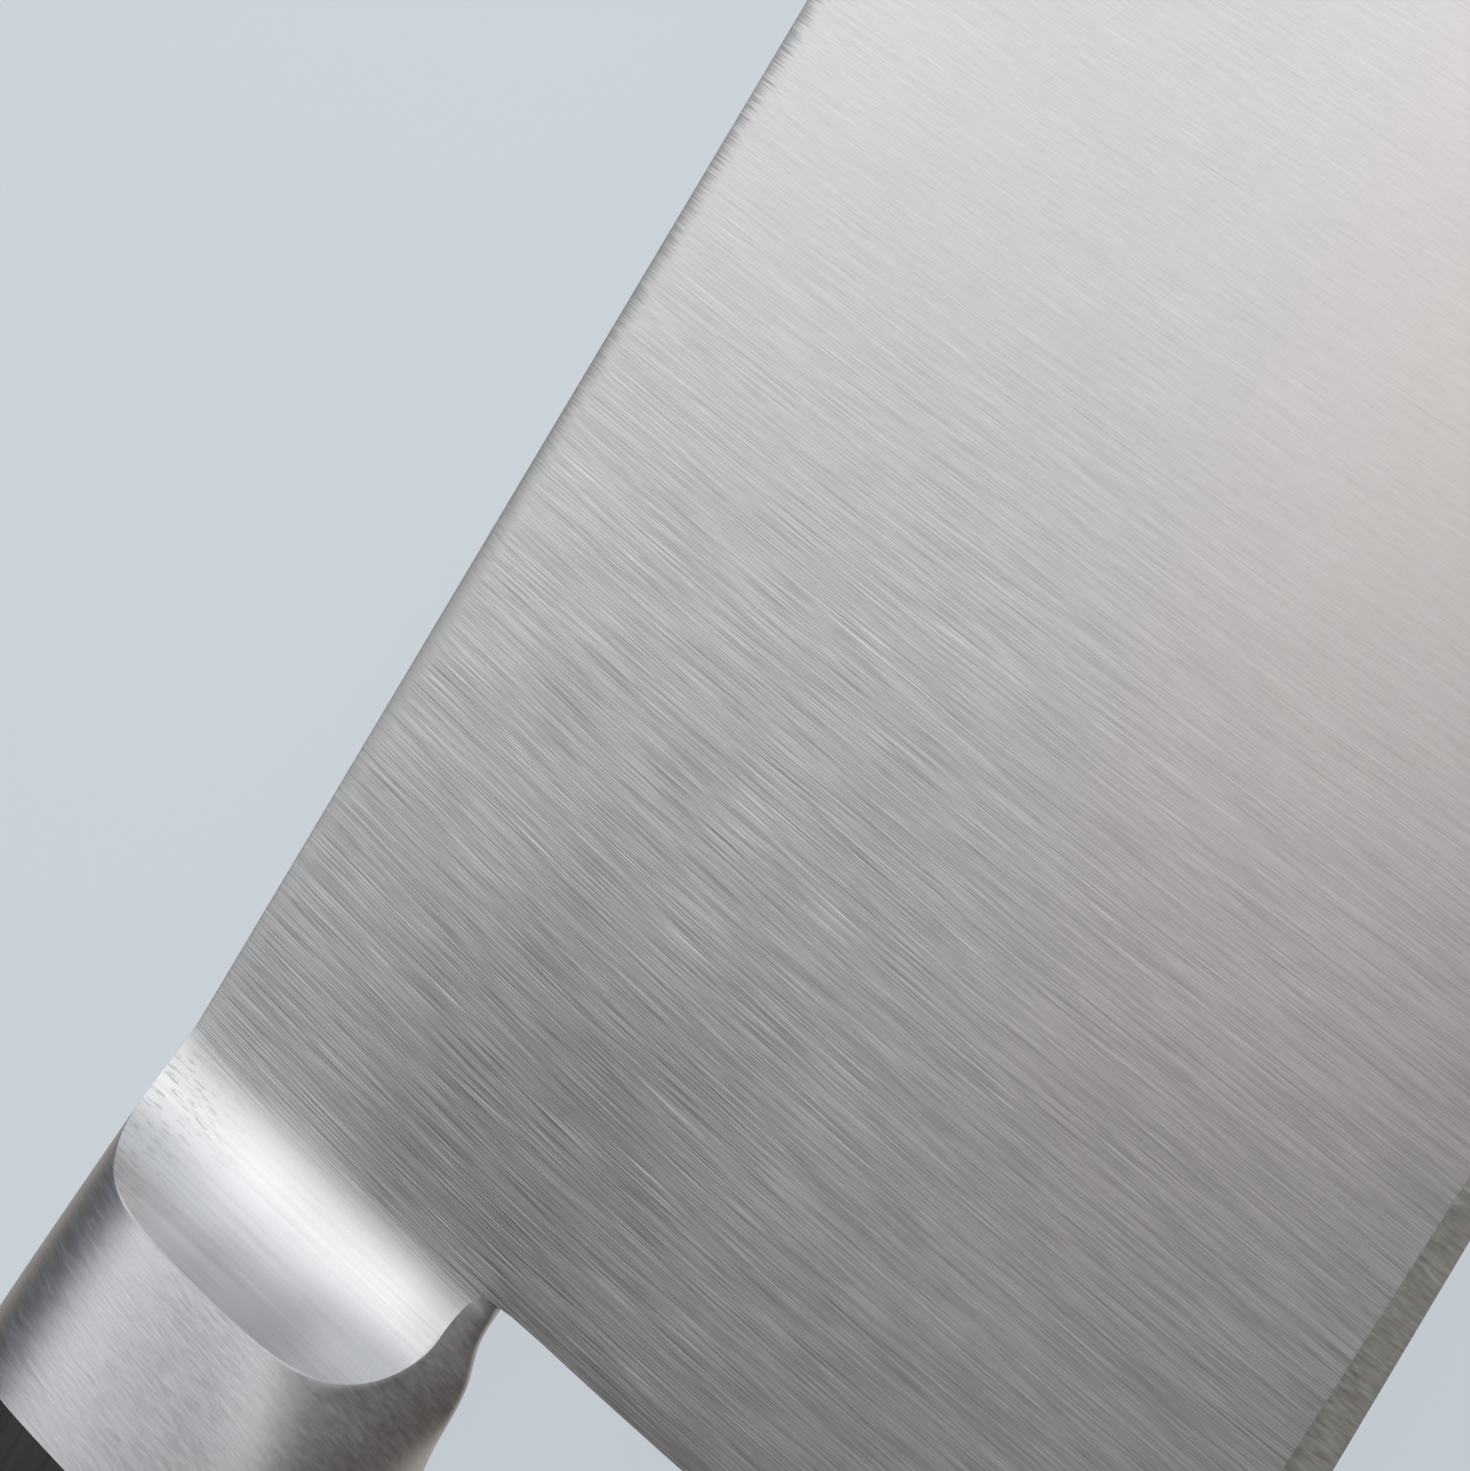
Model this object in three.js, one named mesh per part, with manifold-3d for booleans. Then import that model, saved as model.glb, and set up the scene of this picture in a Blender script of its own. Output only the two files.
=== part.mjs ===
// A gyuto, the all-round chef's knife: a 240 mm ground blade, a welded bolster with a hollow-ground scoop
// on each side, and two scales riveted to a full tang.
// Millimetres. The knife lies on its left side: +X to the tip, +Y to the spine, +Z out of the right face.
import * as THREE from "three";
import { mergeVertices } from "three/addons/utils/BufferGeometryUtils.js";
import Module from "manifold-3d";

// Blade
const BLADE_LENGTH = 240;         // heel corner to tip, along the spine's direction
const HEEL_HEIGHT = 50.5;         // spine to cutting edge at the heel
const HEEL_LEAN = 11.5;           // degrees that the heel leans back from square
const SPINE_THICKNESS = 2.4;
const SHOULDER_THICKNESS = 0.5;   // left above the edge bevels at the heel
const RIGHT_BEVEL = 1.5;          // width of the edge bevel on the right face
const LEFT_BEVEL = 0.8;           // width of the edge bevel on the left face
const SPINE_EASING = 0.5;         // radius on the two corners of the spine
const SPINE_STRAIGHT = 130;       // straight run of the spine, from the bolster
const SPINE_SWEEP = 2.2;          // power of the spine's fall to the tip
const EDGE_STRAIGHT = 70;         // straight run of the edge, from the heel
const EDGE_SWEEP = 2.2;           // power of the belly's rise to the tip
const TIP_DROP = 25;              // how far the tip lies below the straight spine
const TAPER_START = 100;          // where the faces start to close towards the tip
const TIP_TAPER = 0.45;           // thickness kept at the tip, against an untapered blade
const NARROWING_HEIGHT = 12.6;    // height of the blade under which bevels and easing shrink to the tip

// Bolster
const BOLSTER_LENGTH = 16.4;      // weld to scales, at the spine
const BOLSTER_THICKNESS = 12.2;   // at the weld, before the scoops are ground
const BOLSTER_RISE = 1.3;         // how far its back stands over the spine at the scales
const CHOIL_DEPTH = 16.3;         // spine to the notch where the heel meets the bolster
const KNEE_RUN = 6.6;             // notch to the knee of the underside
const KNEE_DEPTH = 17;            // spine to the underside at the knee
const BOLSTER_DEPTH = 17.5;       // spine to the underside at the scales
const JOINT_LEAN = 13.6;          // degrees that the joint with the scales leans back from square
const SCOOP_RADIUS = 7.6;
const CHOIL_THINNING = 3.1;       // how much leaner the underside is at the weld, 1 at the scales
const CHOIL_STRIP = 1.2;          // flat left along the underside at the notch

// Handle
const SCALE_LENGTH = 120;         // bolster to butt, at the back
const HANDLE_THICKNESS = 17.2;    // across the flats of the two scales
const THICKENING_RUN = 30;        // from the bolster to the full thickness
const TANG_THICKNESS = 2.4;
const BACK_RISE = 1.5;            // highest point of the back over the spine
const SWELL_RISE = 0.6;           // back over the spine at the swell
const BUTT_TOP_DROP = 6;          // back below the spine at the butt
const GRIP_DEPTH = 21.3;          // spine to the underside at the swell
const WAIST_MARGIN = 27;          // waist to butt
const WAIST_DEPTH = 20.6;         // spine to the underside at the waist
const BUTT_DEPTH = 25.5;          // spine to the underside at the butt
const BUTT_RADIUS = 6;            // rounding of the butt's two corners
const BUTT_EASING = 0.5;          // share of that rounding taken off the scales' sides
const SIDE_FLAT_ARC = 44;         // degrees of the section's oval that each side cuts off flat

// Rivets
const RIVET_NAMES = ["front", "middle", "rear"];
const RIVET_FRONT_MARGIN = 19;    // bolster to the front rivet
const RIVET_REAR_MARGIN = 27;     // rear rivet to the butt
const RIVET_HEAD_DIAMETER = 8;
const RIVET_HEAD_THICKNESS = 1.8;
const SLEEVE_DIAMETER = 4.8;
const PIN_DIAMETER = 3;
const SLEEVE_FLOOR = 2;           // solid metal between the sleeve's head and its bore
const PIN_CLEARANCE = 0.05;       // pin to sleeve, on the radius
const RIVET_CLEARANCE = 0.05;     // rivet to scale, on the radius and under the head
const TANG_CLEARANCE = 0.2;       // sleeve to tang, on the radius
const RIVET_END_GAP = 0.3;        // ends of the pin and the sleeve to what faces them

// Finishes
const BLADE_COLOUR = 0xb3b1ae;
const BLADE_ROUGHNESS = 0.4;
const BOLSTER_COLOUR = 0xbdbcbd;
const BOLSTER_ROUGHNESS = 0.35;
const TANG_COLOUR = 0xa9a8a6;
const TANG_ROUGHNESS = 0.4;
const RIVET_COLOUR = 0xc2c1bf;
const RIVET_ROUGHNESS = 0.3;
const SCALE_COLOUR = 0x2e3033;
const SCALE_ROUGHNESS = 0.45;

// Fineness of the facets
const EASING_STEPS = 3;
const TIP_STATIONS = 36;
const CORNER_STEPS = 8;
const BOLSTER_STATIONS = 10;
const SCALE_STATIONS = 24;
const BUTT_STEPS = 6;
const SCOOP_SEGMENTS = 24;
const ROUND_SEGMENTS = 32;
const MERGE_DISTANCE = 1e-5;      // points closer than this are one
const CUT_MARGIN = 2;             // how far the scoop's cutter runs past the bolster

const wasm = await Module();
wasm.setup();

const { degToRad, lerp, smoothstep } = THREE.MathUtils;
const heelSlope = Math.tan(degToRad(HEEL_LEAN));
const jointSlope = Math.tan(degToRad(JOINT_LEAN));
const heelX = -heelSlope * HEEL_HEIGHT;
const tipX = heelX + BLADE_LENGTH;
const handleLength = BOLSTER_LENGTH + SCALE_LENGTH;
const faceSlope = (SPINE_THICKNESS - SHOULDER_THICKNESS) / 2 / (HEEL_HEIGHT - RIGHT_BEVEL);

// Solids

function solidOf(geometry) {
  const bare = new THREE.BufferGeometry();
  bare.setAttribute("position", geometry.getAttribute("position").clone());
  if (geometry.index) bare.setIndex(geometry.index.clone());
  const merged = mergeVertices(bare, MERGE_DISTANCE);
  return new wasm.Manifold(new wasm.Mesh({
    numProp: 3,
    vertProperties: new Float32Array(merged.getAttribute("position").array),
    triVerts: new Uint32Array(merged.index.array),
  }));
}

function geometryOf(solid) {
  const mesh = solid.getMesh();
  const geometry = new THREE.BufferGeometry();
  geometry.setAttribute("position", new THREE.BufferAttribute(mesh.vertProperties, 3));
  geometry.setIndex(new THREE.BufferAttribute(mesh.triVerts, 1));
  geometry.computeVertexNormals();
  return geometry;
}

// A closed body skinned over rings with equal counts of points. Each ring is convex and turns from +Y to +Z,
// and the rings run from the tip's side to the butt's. An apex closes the first end to a point.
function skin(rings, apex) {
  const count = rings[0].length;
  const points = rings.flat();
  const faces = [];
  for (let r = 0; r + 1 < rings.length; r++) {
    for (let i = 0; i < count; i++) {
      const a = r * count + i;
      const b = r * count + ((i + 1) % count);
      faces.push(a, a + count, b, b, a + count, b + count);
    }
  }
  const last = (rings.length - 1) * count;
  for (let i = 1; i + 1 < count; i++) {
    faces.push(last, last + i + 1, last + i);
    if (!apex) faces.push(0, i, i + 1);
  }
  if (apex) {
    points.push(apex);
    for (let i = 0; i < count; i++) faces.push(points.length - 1, i, (i + 1) % count);
  }
  const geometry = new THREE.BufferGeometry().setFromPoints(points);
  geometry.setIndex(faces);
  geometry.computeVertexNormals();
  return geometry;
}

// A smooth line through points of station and height.
function lineThrough(points) {
  const stations = points.map((point) => point[0]);
  const heights = points.map((point) => point[1]);
  const line = new THREE.CubicInterpolant(stations, heights, 1);
  return (station) => line.evaluate(station)[0];
}

// Blade outline and thickness

function spineHeight(x) {
  const run = Math.max(0, (x - SPINE_STRAIGHT) / (tipX - SPINE_STRAIGHT));
  return -TIP_DROP * run ** SPINE_SWEEP;
}

function edgeHeight(x) {
  const start = heelX + EDGE_STRAIGHT;
  const run = Math.max(0, (x - start) / (tipX - start));
  return -HEEL_HEIGHT + (HEEL_HEIGHT - TIP_DROP) * run ** EDGE_SWEEP;
}

// Half the thickness of the ground faces, which stay flat as far as the taper's start.
function faceHalf(y) {
  return SPINE_THICKNESS / 2 + faceSlope * y;
}

// One cross-section of the blade, from the spine to the edge and back. It leans with the heel at the weld, and
// less and less towards the tip.
function bladeRing(run) {
  const spine = new THREE.Vector2(tipX * run, spineHeight(tipX * run));
  const edgeX = lerp(heelX, tipX, run);
  const edge = new THREE.Vector2(edgeX, edgeHeight(edgeX));
  const height = spine.distanceTo(edge);
  const taper = lerp(1, TIP_TAPER, smoothstep(spine.x, TAPER_START, tipX));
  const narrow = Math.min(1, height / NARROWING_HEIGHT);
  const easing = SPINE_EASING * narrow * taper;
  const place = (down, inset, side) => {
    const at = spine.clone().lerp(edge, down / height);
    return new THREE.Vector3(at.x, at.y, side * (faceHalf(at.y) * taper - inset));
  };
  const side = (sign, bevel) => {
    const points = [];
    for (let i = 0; i <= EASING_STEPS; i++) {
      const turn = i / EASING_STEPS * Math.PI / 2;
      points.push(place(easing * (1 - Math.cos(turn)), easing * (1 - Math.sin(turn)), sign));
    }
    points.push(place(height - bevel * narrow, 0, sign));
    return points;
  };
  const cuttingEdge = new THREE.Vector3(edge.x, edge.y, 0);
  return [...side(1, RIGHT_BEVEL), cuttingEdge, ...side(-1, LEFT_BEVEL).reverse()];
}

function blade() {
  const rings = [];
  const straightRun = EDGE_STRAIGHT / BLADE_LENGTH;
  for (let i = 0; i < TIP_STATIONS; i++) rings.push(bladeRing(lerp(1, straightRun, (i + 1) / TIP_STATIONS)));
  rings.push(bladeRing(0));
  return skin(rings, new THREE.Vector3(tipX, -TIP_DROP, 0));
}

// Handle sections. A station is a distance behind the weld, along the spine's line. Its section leans with the
// weld, then with the joint at the scales, and stands square at the butt.

const swellStation = BOLSTER_LENGTH + SCALE_LENGTH / 2;
const crestStation = BOLSTER_LENGTH + SCALE_LENGTH / 4;
const waistStation = handleLength - WAIST_MARGIN;
const buttStart = handleLength - BUTT_RADIUS;

const backLine = lineThrough([
  [0, 0],
  [BOLSTER_LENGTH, BOLSTER_RISE],
  [crestStation, BACK_RISE],
  [swellStation, SWELL_RISE],
  [handleLength, -BUTT_TOP_DROP],
]);

const underLine = lineThrough([
  [0, -CHOIL_DEPTH],
  [KNEE_RUN, -KNEE_DEPTH],
  [BOLSTER_LENGTH, -BOLSTER_DEPTH],
  [swellStation, -GRIP_DEPTH],
  [waistStation, -WAIST_DEPTH],
  [handleLength, -BUTT_DEPTH],
]);

function leanAt(station) {
  if (station < BOLSTER_LENGTH) return lerp(heelSlope, jointSlope, station / BOLSTER_LENGTH);
  return jointSlope * (handleLength - station) / (handleLength - BOLSTER_LENGTH);
}

function profileAt(station) {
  const intoButt = Math.max(0, station - buttStart);
  const rounding = BUTT_RADIUS - Math.sqrt(Math.max(0, BUTT_RADIUS ** 2 - intoButt ** 2));
  const swell = smoothstep(station, 0, BOLSTER_LENGTH + THICKENING_RUN);
  return {
    top: backLine(station) - rounding,
    bottom: underLine(station) + rounding,
    half: lerp(BOLSTER_THICKNESS, HANDLE_THICKNESS, swell) / 2 - BUTT_EASING * rounding,
  };
}

// The right half of a section, from its top to its bottom: an oval with a flat side, between flat strips that
// start at the weld and are as wide as the tang at the scales.
function halfSection(station) {
  const { top, bottom, half } = profileAt(station);
  const behind = Math.min(1, station / BOLSTER_LENGTH);
  const topStrip = lerp(SPINE_THICKNESS, TANG_THICKNESS, behind) / 2;
  const bottomStrip = lerp(CHOIL_STRIP, TANG_THICKNESS, behind) / 2;
  const thinning = lerp(CHOIL_THINNING, 1, smoothstep(behind, 0, 1));
  const flatTurn = degToRad(90 - SIDE_FLAT_ARC / 2);
  const outward = (turn) => Math.sin(turn) / Math.sin(flatTurn);
  const middle = (top + bottom) / 2;
  const reach = (top - bottom) / 2;
  const place = (y, z) => new THREE.Vector3(leanAt(station) * y - station, y, z);
  const points = [];
  for (let i = 0; i <= CORNER_STEPS; i++) {
    const turn = flatTurn * i / CORNER_STEPS;
    points.push(place(middle + reach * Math.cos(turn), lerp(topStrip, half, outward(turn))));
  }
  for (let i = CORNER_STEPS; i >= 0; i--) {
    const turn = flatTurn * i / CORNER_STEPS;
    points.push(place(middle - reach * Math.cos(turn), lerp(bottomStrip, half, outward(turn) ** thinning)));
  }
  return points;
}

function mirrored(points) {
  return points.map((point) => new THREE.Vector3(point.x, point.y, -point.z)).reverse();
}

// Bolster: the block between the weld and the scales, less a scoop ground into each side

function scoopCutter(side) {
  const shape = new THREE.Shape();
  shape.moveTo(-CUT_MARGIN, 0);
  shape.lineTo(0, 0);
  shape.absarc(0, SCOOP_RADIUS, SCOOP_RADIUS, -Math.PI / 2, 0, false);
  shape.lineTo(SCOOP_RADIUS, SCOOP_RADIUS + BOLSTER_THICKNESS);
  shape.lineTo(-CUT_MARGIN, SCOOP_RADIUS + BOLSTER_THICKNESS);
  shape.closePath();
  const low = -CHOIL_DEPTH - CUT_MARGIN;
  const high = BOLSTER_RISE + CUT_MARGIN;
  const cutter = new THREE.ExtrudeGeometry(shape, {
    depth: high - low,
    bevelEnabled: false,
    curveSegments: SCOOP_SEGMENTS,
  });
  // Across the scoop runs back along the handle, its depth out of the face, and its length along the weld.
  const start = side > 0 ? low : high;
  const frame = new THREE.Matrix4().makeBasis(
    new THREE.Vector3(-1, 0, 0),
    new THREE.Vector3(0, 0, side),
    new THREE.Vector3(heelSlope, 1, side * faceSlope).multiplyScalar(side),
  );
  frame.setPosition(heelSlope * start, start, side * faceHalf(start));
  return cutter.applyMatrix4(frame);
}

function bolster() {
  const rings = [];
  for (let i = 0; i <= BOLSTER_STATIONS; i++) {
    const half = halfSection(BOLSTER_LENGTH * i / BOLSTER_STATIONS);
    rings.push([...half, ...mirrored(half)]);
  }
  let block = solidOf(skin(rings));
  for (const side of [1, -1]) block = block.subtract(solidOf(scoopCutter(side)));
  return geometryOf(block);
}

// Rivets: each a sleeve from the right and a pin from the left, with heads ground flush

const rivets = [];
RIVET_NAMES.forEach((name, i) => {
  const first = BOLSTER_LENGTH + RIVET_FRONT_MARGIN;
  const station = lerp(first, handleLength - RIVET_REAR_MARGIN, i / (RIVET_NAMES.length - 1));
  const { top, bottom, half } = profileAt(station);
  const y = (top + bottom) / 2;
  rivets.push({ name, x: leanAt(station) * y - station, y, half });
});

// A turned body about a rivet's axis, from its profile of radius and height.
function turned(profile, rivet) {
  const points = profile.map(([radius, height]) => new THREE.Vector2(radius, height));
  const geometry = new THREE.LatheGeometry(points, ROUND_SEGMENTS);
  geometry.rotateX(Math.PI / 2);
  geometry.translate(rivet.x, rivet.y, 0);
  return geometry;
}

const headRadius = RIVET_HEAD_DIAMETER / 2;
const sleeveRadius = SLEEVE_DIAMETER / 2;
const pinRadius = PIN_DIAMETER / 2;

function rivetSleeve(rivet) {
  const underHead = rivet.half - RIVET_HEAD_THICKNESS;
  const open = -underHead + RIVET_END_GAP;
  const bore = pinRadius + PIN_CLEARANCE;
  const boreEnd = underHead - SLEEVE_FLOOR;
  return geometryOf(solidOf(turned([
    [0, boreEnd], [bore, boreEnd], [bore, open], [sleeveRadius, open],
    [sleeveRadius, underHead], [headRadius, underHead], [headRadius, rivet.half], [0, rivet.half],
  ], rivet)));
}

function rivetPin(rivet) {
  const overHead = RIVET_HEAD_THICKNESS - rivet.half;
  const end = rivet.half - RIVET_HEAD_THICKNESS - SLEEVE_FLOOR - RIVET_END_GAP;
  return geometryOf(solidOf(turned([
    [0, -rivet.half], [headRadius, -rivet.half], [headRadius, overHead],
    [pinRadius, overHead], [pinRadius, end], [0, end],
  ], rivet)));
}

// The stepped hole that one rivet takes in the scale on one side.
function rivetHole(rivet, side) {
  const shank = sleeveRadius + RIVET_CLEARANCE;
  const head = headRadius + RIVET_CLEARANCE;
  const seat = rivet.half - RIVET_HEAD_THICKNESS - RIVET_CLEARANCE;
  const out = HANDLE_THICKNESS;
  const profile = [[0, 0], [shank, 0], [shank, seat], [head, seat], [head, out], [0, out]];
  const lower = profile.map(([radius, height]) => [radius, -height]).reverse();
  return turned(side > 0 ? profile : lower, rivet);
}

// Handle: the tang and the two scales

function handleStations() {
  const stations = [];
  for (let i = 0; i < SCALE_STATIONS; i++) stations.push(lerp(BOLSTER_LENGTH, buttStart, i / SCALE_STATIONS));
  for (let i = 0; i <= BUTT_STEPS; i++) {
    stations.push(buttStart + BUTT_RADIUS * Math.sin(i / BUTT_STEPS * Math.PI / 2));
  }
  return stations;
}

function tang() {
  const back = [];
  const under = [];
  for (const station of handleStations()) {
    const { top, bottom } = profileAt(station);
    back.push(new THREE.Vector2(leanAt(station) * top - station, top));
    under.push(new THREE.Vector2(leanAt(station) * bottom - station, bottom));
  }
  const shape = new THREE.Shape([...back, ...under.reverse()]);
  for (const rivet of rivets) {
    const hole = new THREE.Path();
    hole.absarc(rivet.x, rivet.y, sleeveRadius + TANG_CLEARANCE, 0, 2 * Math.PI);
    shape.holes.push(hole);
  }
  const plate = new THREE.ExtrudeGeometry(shape, {
    depth: TANG_THICKNESS,
    bevelEnabled: false,
    curveSegments: ROUND_SEGMENTS / 2,
  });
  return plate.translate(0, 0, -TANG_THICKNESS / 2);
}

function scale(side) {
  const rings = handleStations().map((station) => {
    const half = halfSection(station);
    return side > 0 ? half : mirrored(half);
  });
  let body = solidOf(skin(rings));
  for (const rivet of rivets) body = body.subtract(solidOf(rivetHole(rivet, side)));
  return geometryOf(body);
}

// Finishes

function steel(colour, roughness) {
  return new THREE.MeshStandardMaterial({ color: colour, roughness, metalness: 1 });
}

function blackWood() {
  return new THREE.MeshStandardMaterial({ color: SCALE_COLOUR, roughness: SCALE_ROUGHNESS, metalness: 0 });
}

// Assembly

const knife = new THREE.Group();

function add(name, geometry, material) {
  const mesh = new THREE.Mesh(geometry, material);
  mesh.name = name;
  knife.add(mesh);
}

add("blade", blade(), steel(BLADE_COLOUR, BLADE_ROUGHNESS));
add("bolster", bolster(), steel(BOLSTER_COLOUR, BOLSTER_ROUGHNESS));
add("tang", tang(), steel(TANG_COLOUR, TANG_ROUGHNESS));
add("right_scale", scale(1), blackWood());
add("left_scale", scale(-1), blackWood());
for (const rivet of rivets) {
  add(`${rivet.name}_rivet_sleeve`, rivetSleeve(rivet), steel(RIVET_COLOUR, RIVET_ROUGHNESS));
  add(`${rivet.name}_rivet_pin`, rivetPin(rivet), steel(RIVET_COLOUR, RIVET_ROUGHNESS));
}

// The origin is under the middle of the knife's box, on the plane that the left scale lies on.
const box = new THREE.Box3().setFromObject(knife);
const centre = box.getCenter(new THREE.Vector3());
knife.position.set(-centre.x, -centre.y, -box.min.z);

const part = new THREE.Group();
part.add(knife);

export default part;
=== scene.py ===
# Looks of a gyuto: a satin ground blade, a bolster with a ground scoop on each side, and black scales
# riveted to a full tang. Metres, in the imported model's frame: +X to the tip, +Y to the spine, +Z out of the
# right face.
import math

import bmesh
import bpy
from bpy.props import FloatProperty, FloatVectorProperty, PointerProperty
from mathutils import Matrix, Vector


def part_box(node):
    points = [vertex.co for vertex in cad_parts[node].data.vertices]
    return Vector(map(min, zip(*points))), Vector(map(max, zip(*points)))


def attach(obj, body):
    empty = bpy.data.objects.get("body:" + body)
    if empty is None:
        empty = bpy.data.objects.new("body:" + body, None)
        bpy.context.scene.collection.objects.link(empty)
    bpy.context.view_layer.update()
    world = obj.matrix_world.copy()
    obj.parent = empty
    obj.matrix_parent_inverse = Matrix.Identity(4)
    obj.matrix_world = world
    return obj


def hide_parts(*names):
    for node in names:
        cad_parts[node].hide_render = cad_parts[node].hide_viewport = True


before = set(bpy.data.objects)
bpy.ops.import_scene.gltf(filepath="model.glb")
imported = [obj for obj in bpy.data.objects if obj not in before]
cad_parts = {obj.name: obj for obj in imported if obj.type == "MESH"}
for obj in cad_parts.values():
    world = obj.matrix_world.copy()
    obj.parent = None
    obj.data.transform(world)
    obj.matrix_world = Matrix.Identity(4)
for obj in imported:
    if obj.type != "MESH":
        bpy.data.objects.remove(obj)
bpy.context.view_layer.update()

bl_info = {
    "name": "Gyuto knife looks",
    "version": (1, 0, 0),
    "blender": (4, 5, 0),
    "location": "View3D > Sidebar > Gyuto",
    "description": "Models and finishes a gyuto around its packed frame",
    "category": "Object",
}

MM = 0.001
RIVET_NAMES = ("front", "middle", "rear")
GRAIN_MAP = "grain"
GRAIN_RADIUS = 10 * MM  # turns an angle round a section into a length
ROUND_STEPS = 64  # corners of a turned piece or a hole
MERGE_GAP = 1e-7  # corners closer than this are one
TOUCHING = 1e-6  # places closer than this count as the same
TINY = 1e-9  # keeps a divisor from being zero

blade_low, blade_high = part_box("blade")
tang_low, tang_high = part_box("tang")
_, scale_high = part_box("right_scale")
spine_y = blade_high.y
middle_z = (blade_low.z + blade_high.z) / 2


# Settings

def length(name, description, default):
    """A size in metres that the sidebar shows with its unit."""
    return FloatProperty(
        name=name, description=description, default=default, precision=5, subtype="DISTANCE", unit="LENGTH")


def angle(name, description, degrees):
    """An angle that the sidebar shows in degrees."""
    return FloatProperty(
        name=name, description=description, default=math.radians(degrees), subtype="ANGLE", unit="ROTATION")


def share(name, description, default):
    """A plain number from 0 to 1."""
    return FloatProperty(
        name=name, description=description, default=default, min=0.0, max=1.0, subtype="FACTOR")


def number(name, description, default):
    """A plain number."""
    return FloatProperty(name=name, description=description, default=default, precision=4)


def colour(name, description, default):
    """A linear colour."""
    return FloatVectorProperty(
        name=name, description=description, default=default, size=3, min=0.0, max=1.0, subtype="COLOR")


class BladeSettings(bpy.types.PropertyGroup):
    """Sizes of the blade"""
    length: length("Length", "Heel corner to tip", blade_high.x - blade_low.x)
    heel_height: length("Heel height", "Spine to edge at the heel", blade_high.y - blade_low.y)
    heel_lean: angle("Heel lean", "How far the heel leans back from square", 11.5)
    heel_hollow: number("Heel hollow", "How much the heel curves forward under the notch, per metre", 2.0)
    heel_hollow_run: length("Heel hollow run", "Height over which the heel curves", 14 * MM)
    heel_relief: length("Heel relief", "How far the notch is filed into the heel", 0.28 * MM)
    heel_relief_run: length("Heel relief run", "Height over which the notch turns into the heel", 1.2 * MM)
    heel_bend_reach: share("Heel bend reach", "Share of the blade over which the heel's bend dies out", 0.25)
    heel_easing: length("Heel easing", "Radius on the heel's two long corners", 0.18 * MM)
    spine_thickness: length("Spine thickness", "Thickness at the spine", blade_high.z - blade_low.z)
    shoulder_thickness: length("Shoulder thickness", "Thickness over the edge bevels", 0.5 * MM)
    right_bevel: length("Right bevel", "Width of the right edge bevel", 1.1 * MM)
    heel_bevel: length("Right bevel at the heel", "Width of the right edge bevel at the heel", 2.05 * MM)
    heel_bevel_run: length("Heel bevel run", "Length over which the bevel narrows from the heel", 42 * MM)
    left_bevel: length("Left bevel", "Width of the left edge bevel", 0.8 * MM)
    face_bevel: length("Bevel for the faces", "Bevel width that sets the faces' slope", 1.5 * MM)
    spine_easing: length("Spine easing", "Depth of the roll at the spine, before the corner", 0.10 * MM)
    spine_roll: length("Spine roll", "Height of the roll at the spine, before the corner", 0.9 * MM)
    spine_corner: angle("Spine corner", "Part of the roll's quarter turn that the crisp corner cuts off", 25)
    edge_wear: length("Edge wear", "Height lost to sharpening", 0.4 * MM)
    spine_straight: length("Straight spine", "Straight run of the spine from the bolster", 130 * MM)
    edge_straight: length("Straight edge", "Straight run of the edge from the heel", 70 * MM)
    sweep: number("Sweep", "Power of the fall of the spine and the rise of the belly", 2.2)
    tip_drop: length("Tip drop", "Spine's line down to the tip", 25 * MM)
    taper_start: length("Taper start", "Where the faces start to close", 100 * MM)
    tip_taper: share("Tip taper", "Thickness kept at the tip", 0.45)
    narrowing_height: length("Narrowing height", "Height under which bevels shrink to the tip", 12.6 * MM)


class BolsterSettings(bpy.types.PropertyGroup):
    """Sizes of the bolster"""
    length: length("Length", "Weld to scales at the spine", 15.9 * MM)
    thickness: length("Thickness", "Thickness at the weld before the scoops", 10.0 * MM)
    rise: length("Rise", "Back over the spine at the scales", 0.8 * MM)
    choil_depth: length("Choil depth", "Spine to the notch at the heel", 16.9 * MM)
    choil_run: length("Choil run", "Level run of the underside behind the notch", 1.5 * MM)
    shoulder_run: length("Shoulder run", "Notch to the shoulder of the underside", 3.2 * MM)
    shoulder_depth: length("Shoulder depth", "Spine to the underside at the shoulder", 17.4 * MM)
    knee_run: length("Knee run", "Notch to the knee of the underside", 6.6 * MM)
    knee_depth: length("Knee depth", "Spine to the underside at the knee", 17.47 * MM)
    depth: length("Depth", "Spine to the underside at the scales", 17.7 * MM)
    joint_lean: angle("Joint lean", "How far the joint with the scales leans back", 13.6)
    scoop_radius: length("Scoop radius", "Radius of the ground scoop", 7.6 * MM)
    choil_leanness: share("Choil leanness", "Share of its width that the underside keeps at the notch", 0.48)
    choil_rounding: length("Choil rounding", "Rounding of the underside at the notch", 0.75 * MM)
    choil_flare: length("Choil flare", "Notch to where the underside is a keel", 0.8 * MM)
    keel_rounding: length("Keel rounding", "Rounding of the underside's keel behind the notch", 0.42 * MM)
    keel_start: share("Keel start", "Share of the length at which the keel starts to flatten", 0.11)
    keel_end: share("Keel end", "Share of the length at which the keel ends", 0.51)
    lean_end: share("Lean end", "Share of the length at which the underside has its full width", 0.72)
    strip_start: share("Strip start", "Share of the length at which the tang's strip starts below", 0.4)
    crest_power: number("Crest power", "How late the lean underside turns into the full side", 8)
    scoop_blend: length("Scoop blend", "Length over which the rolled spine ends in the scoop", 1.6 * MM)
    crease_easing: length("Crease easing", "Half width of the eased crease round the scoop", 0.03 * MM)


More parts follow.
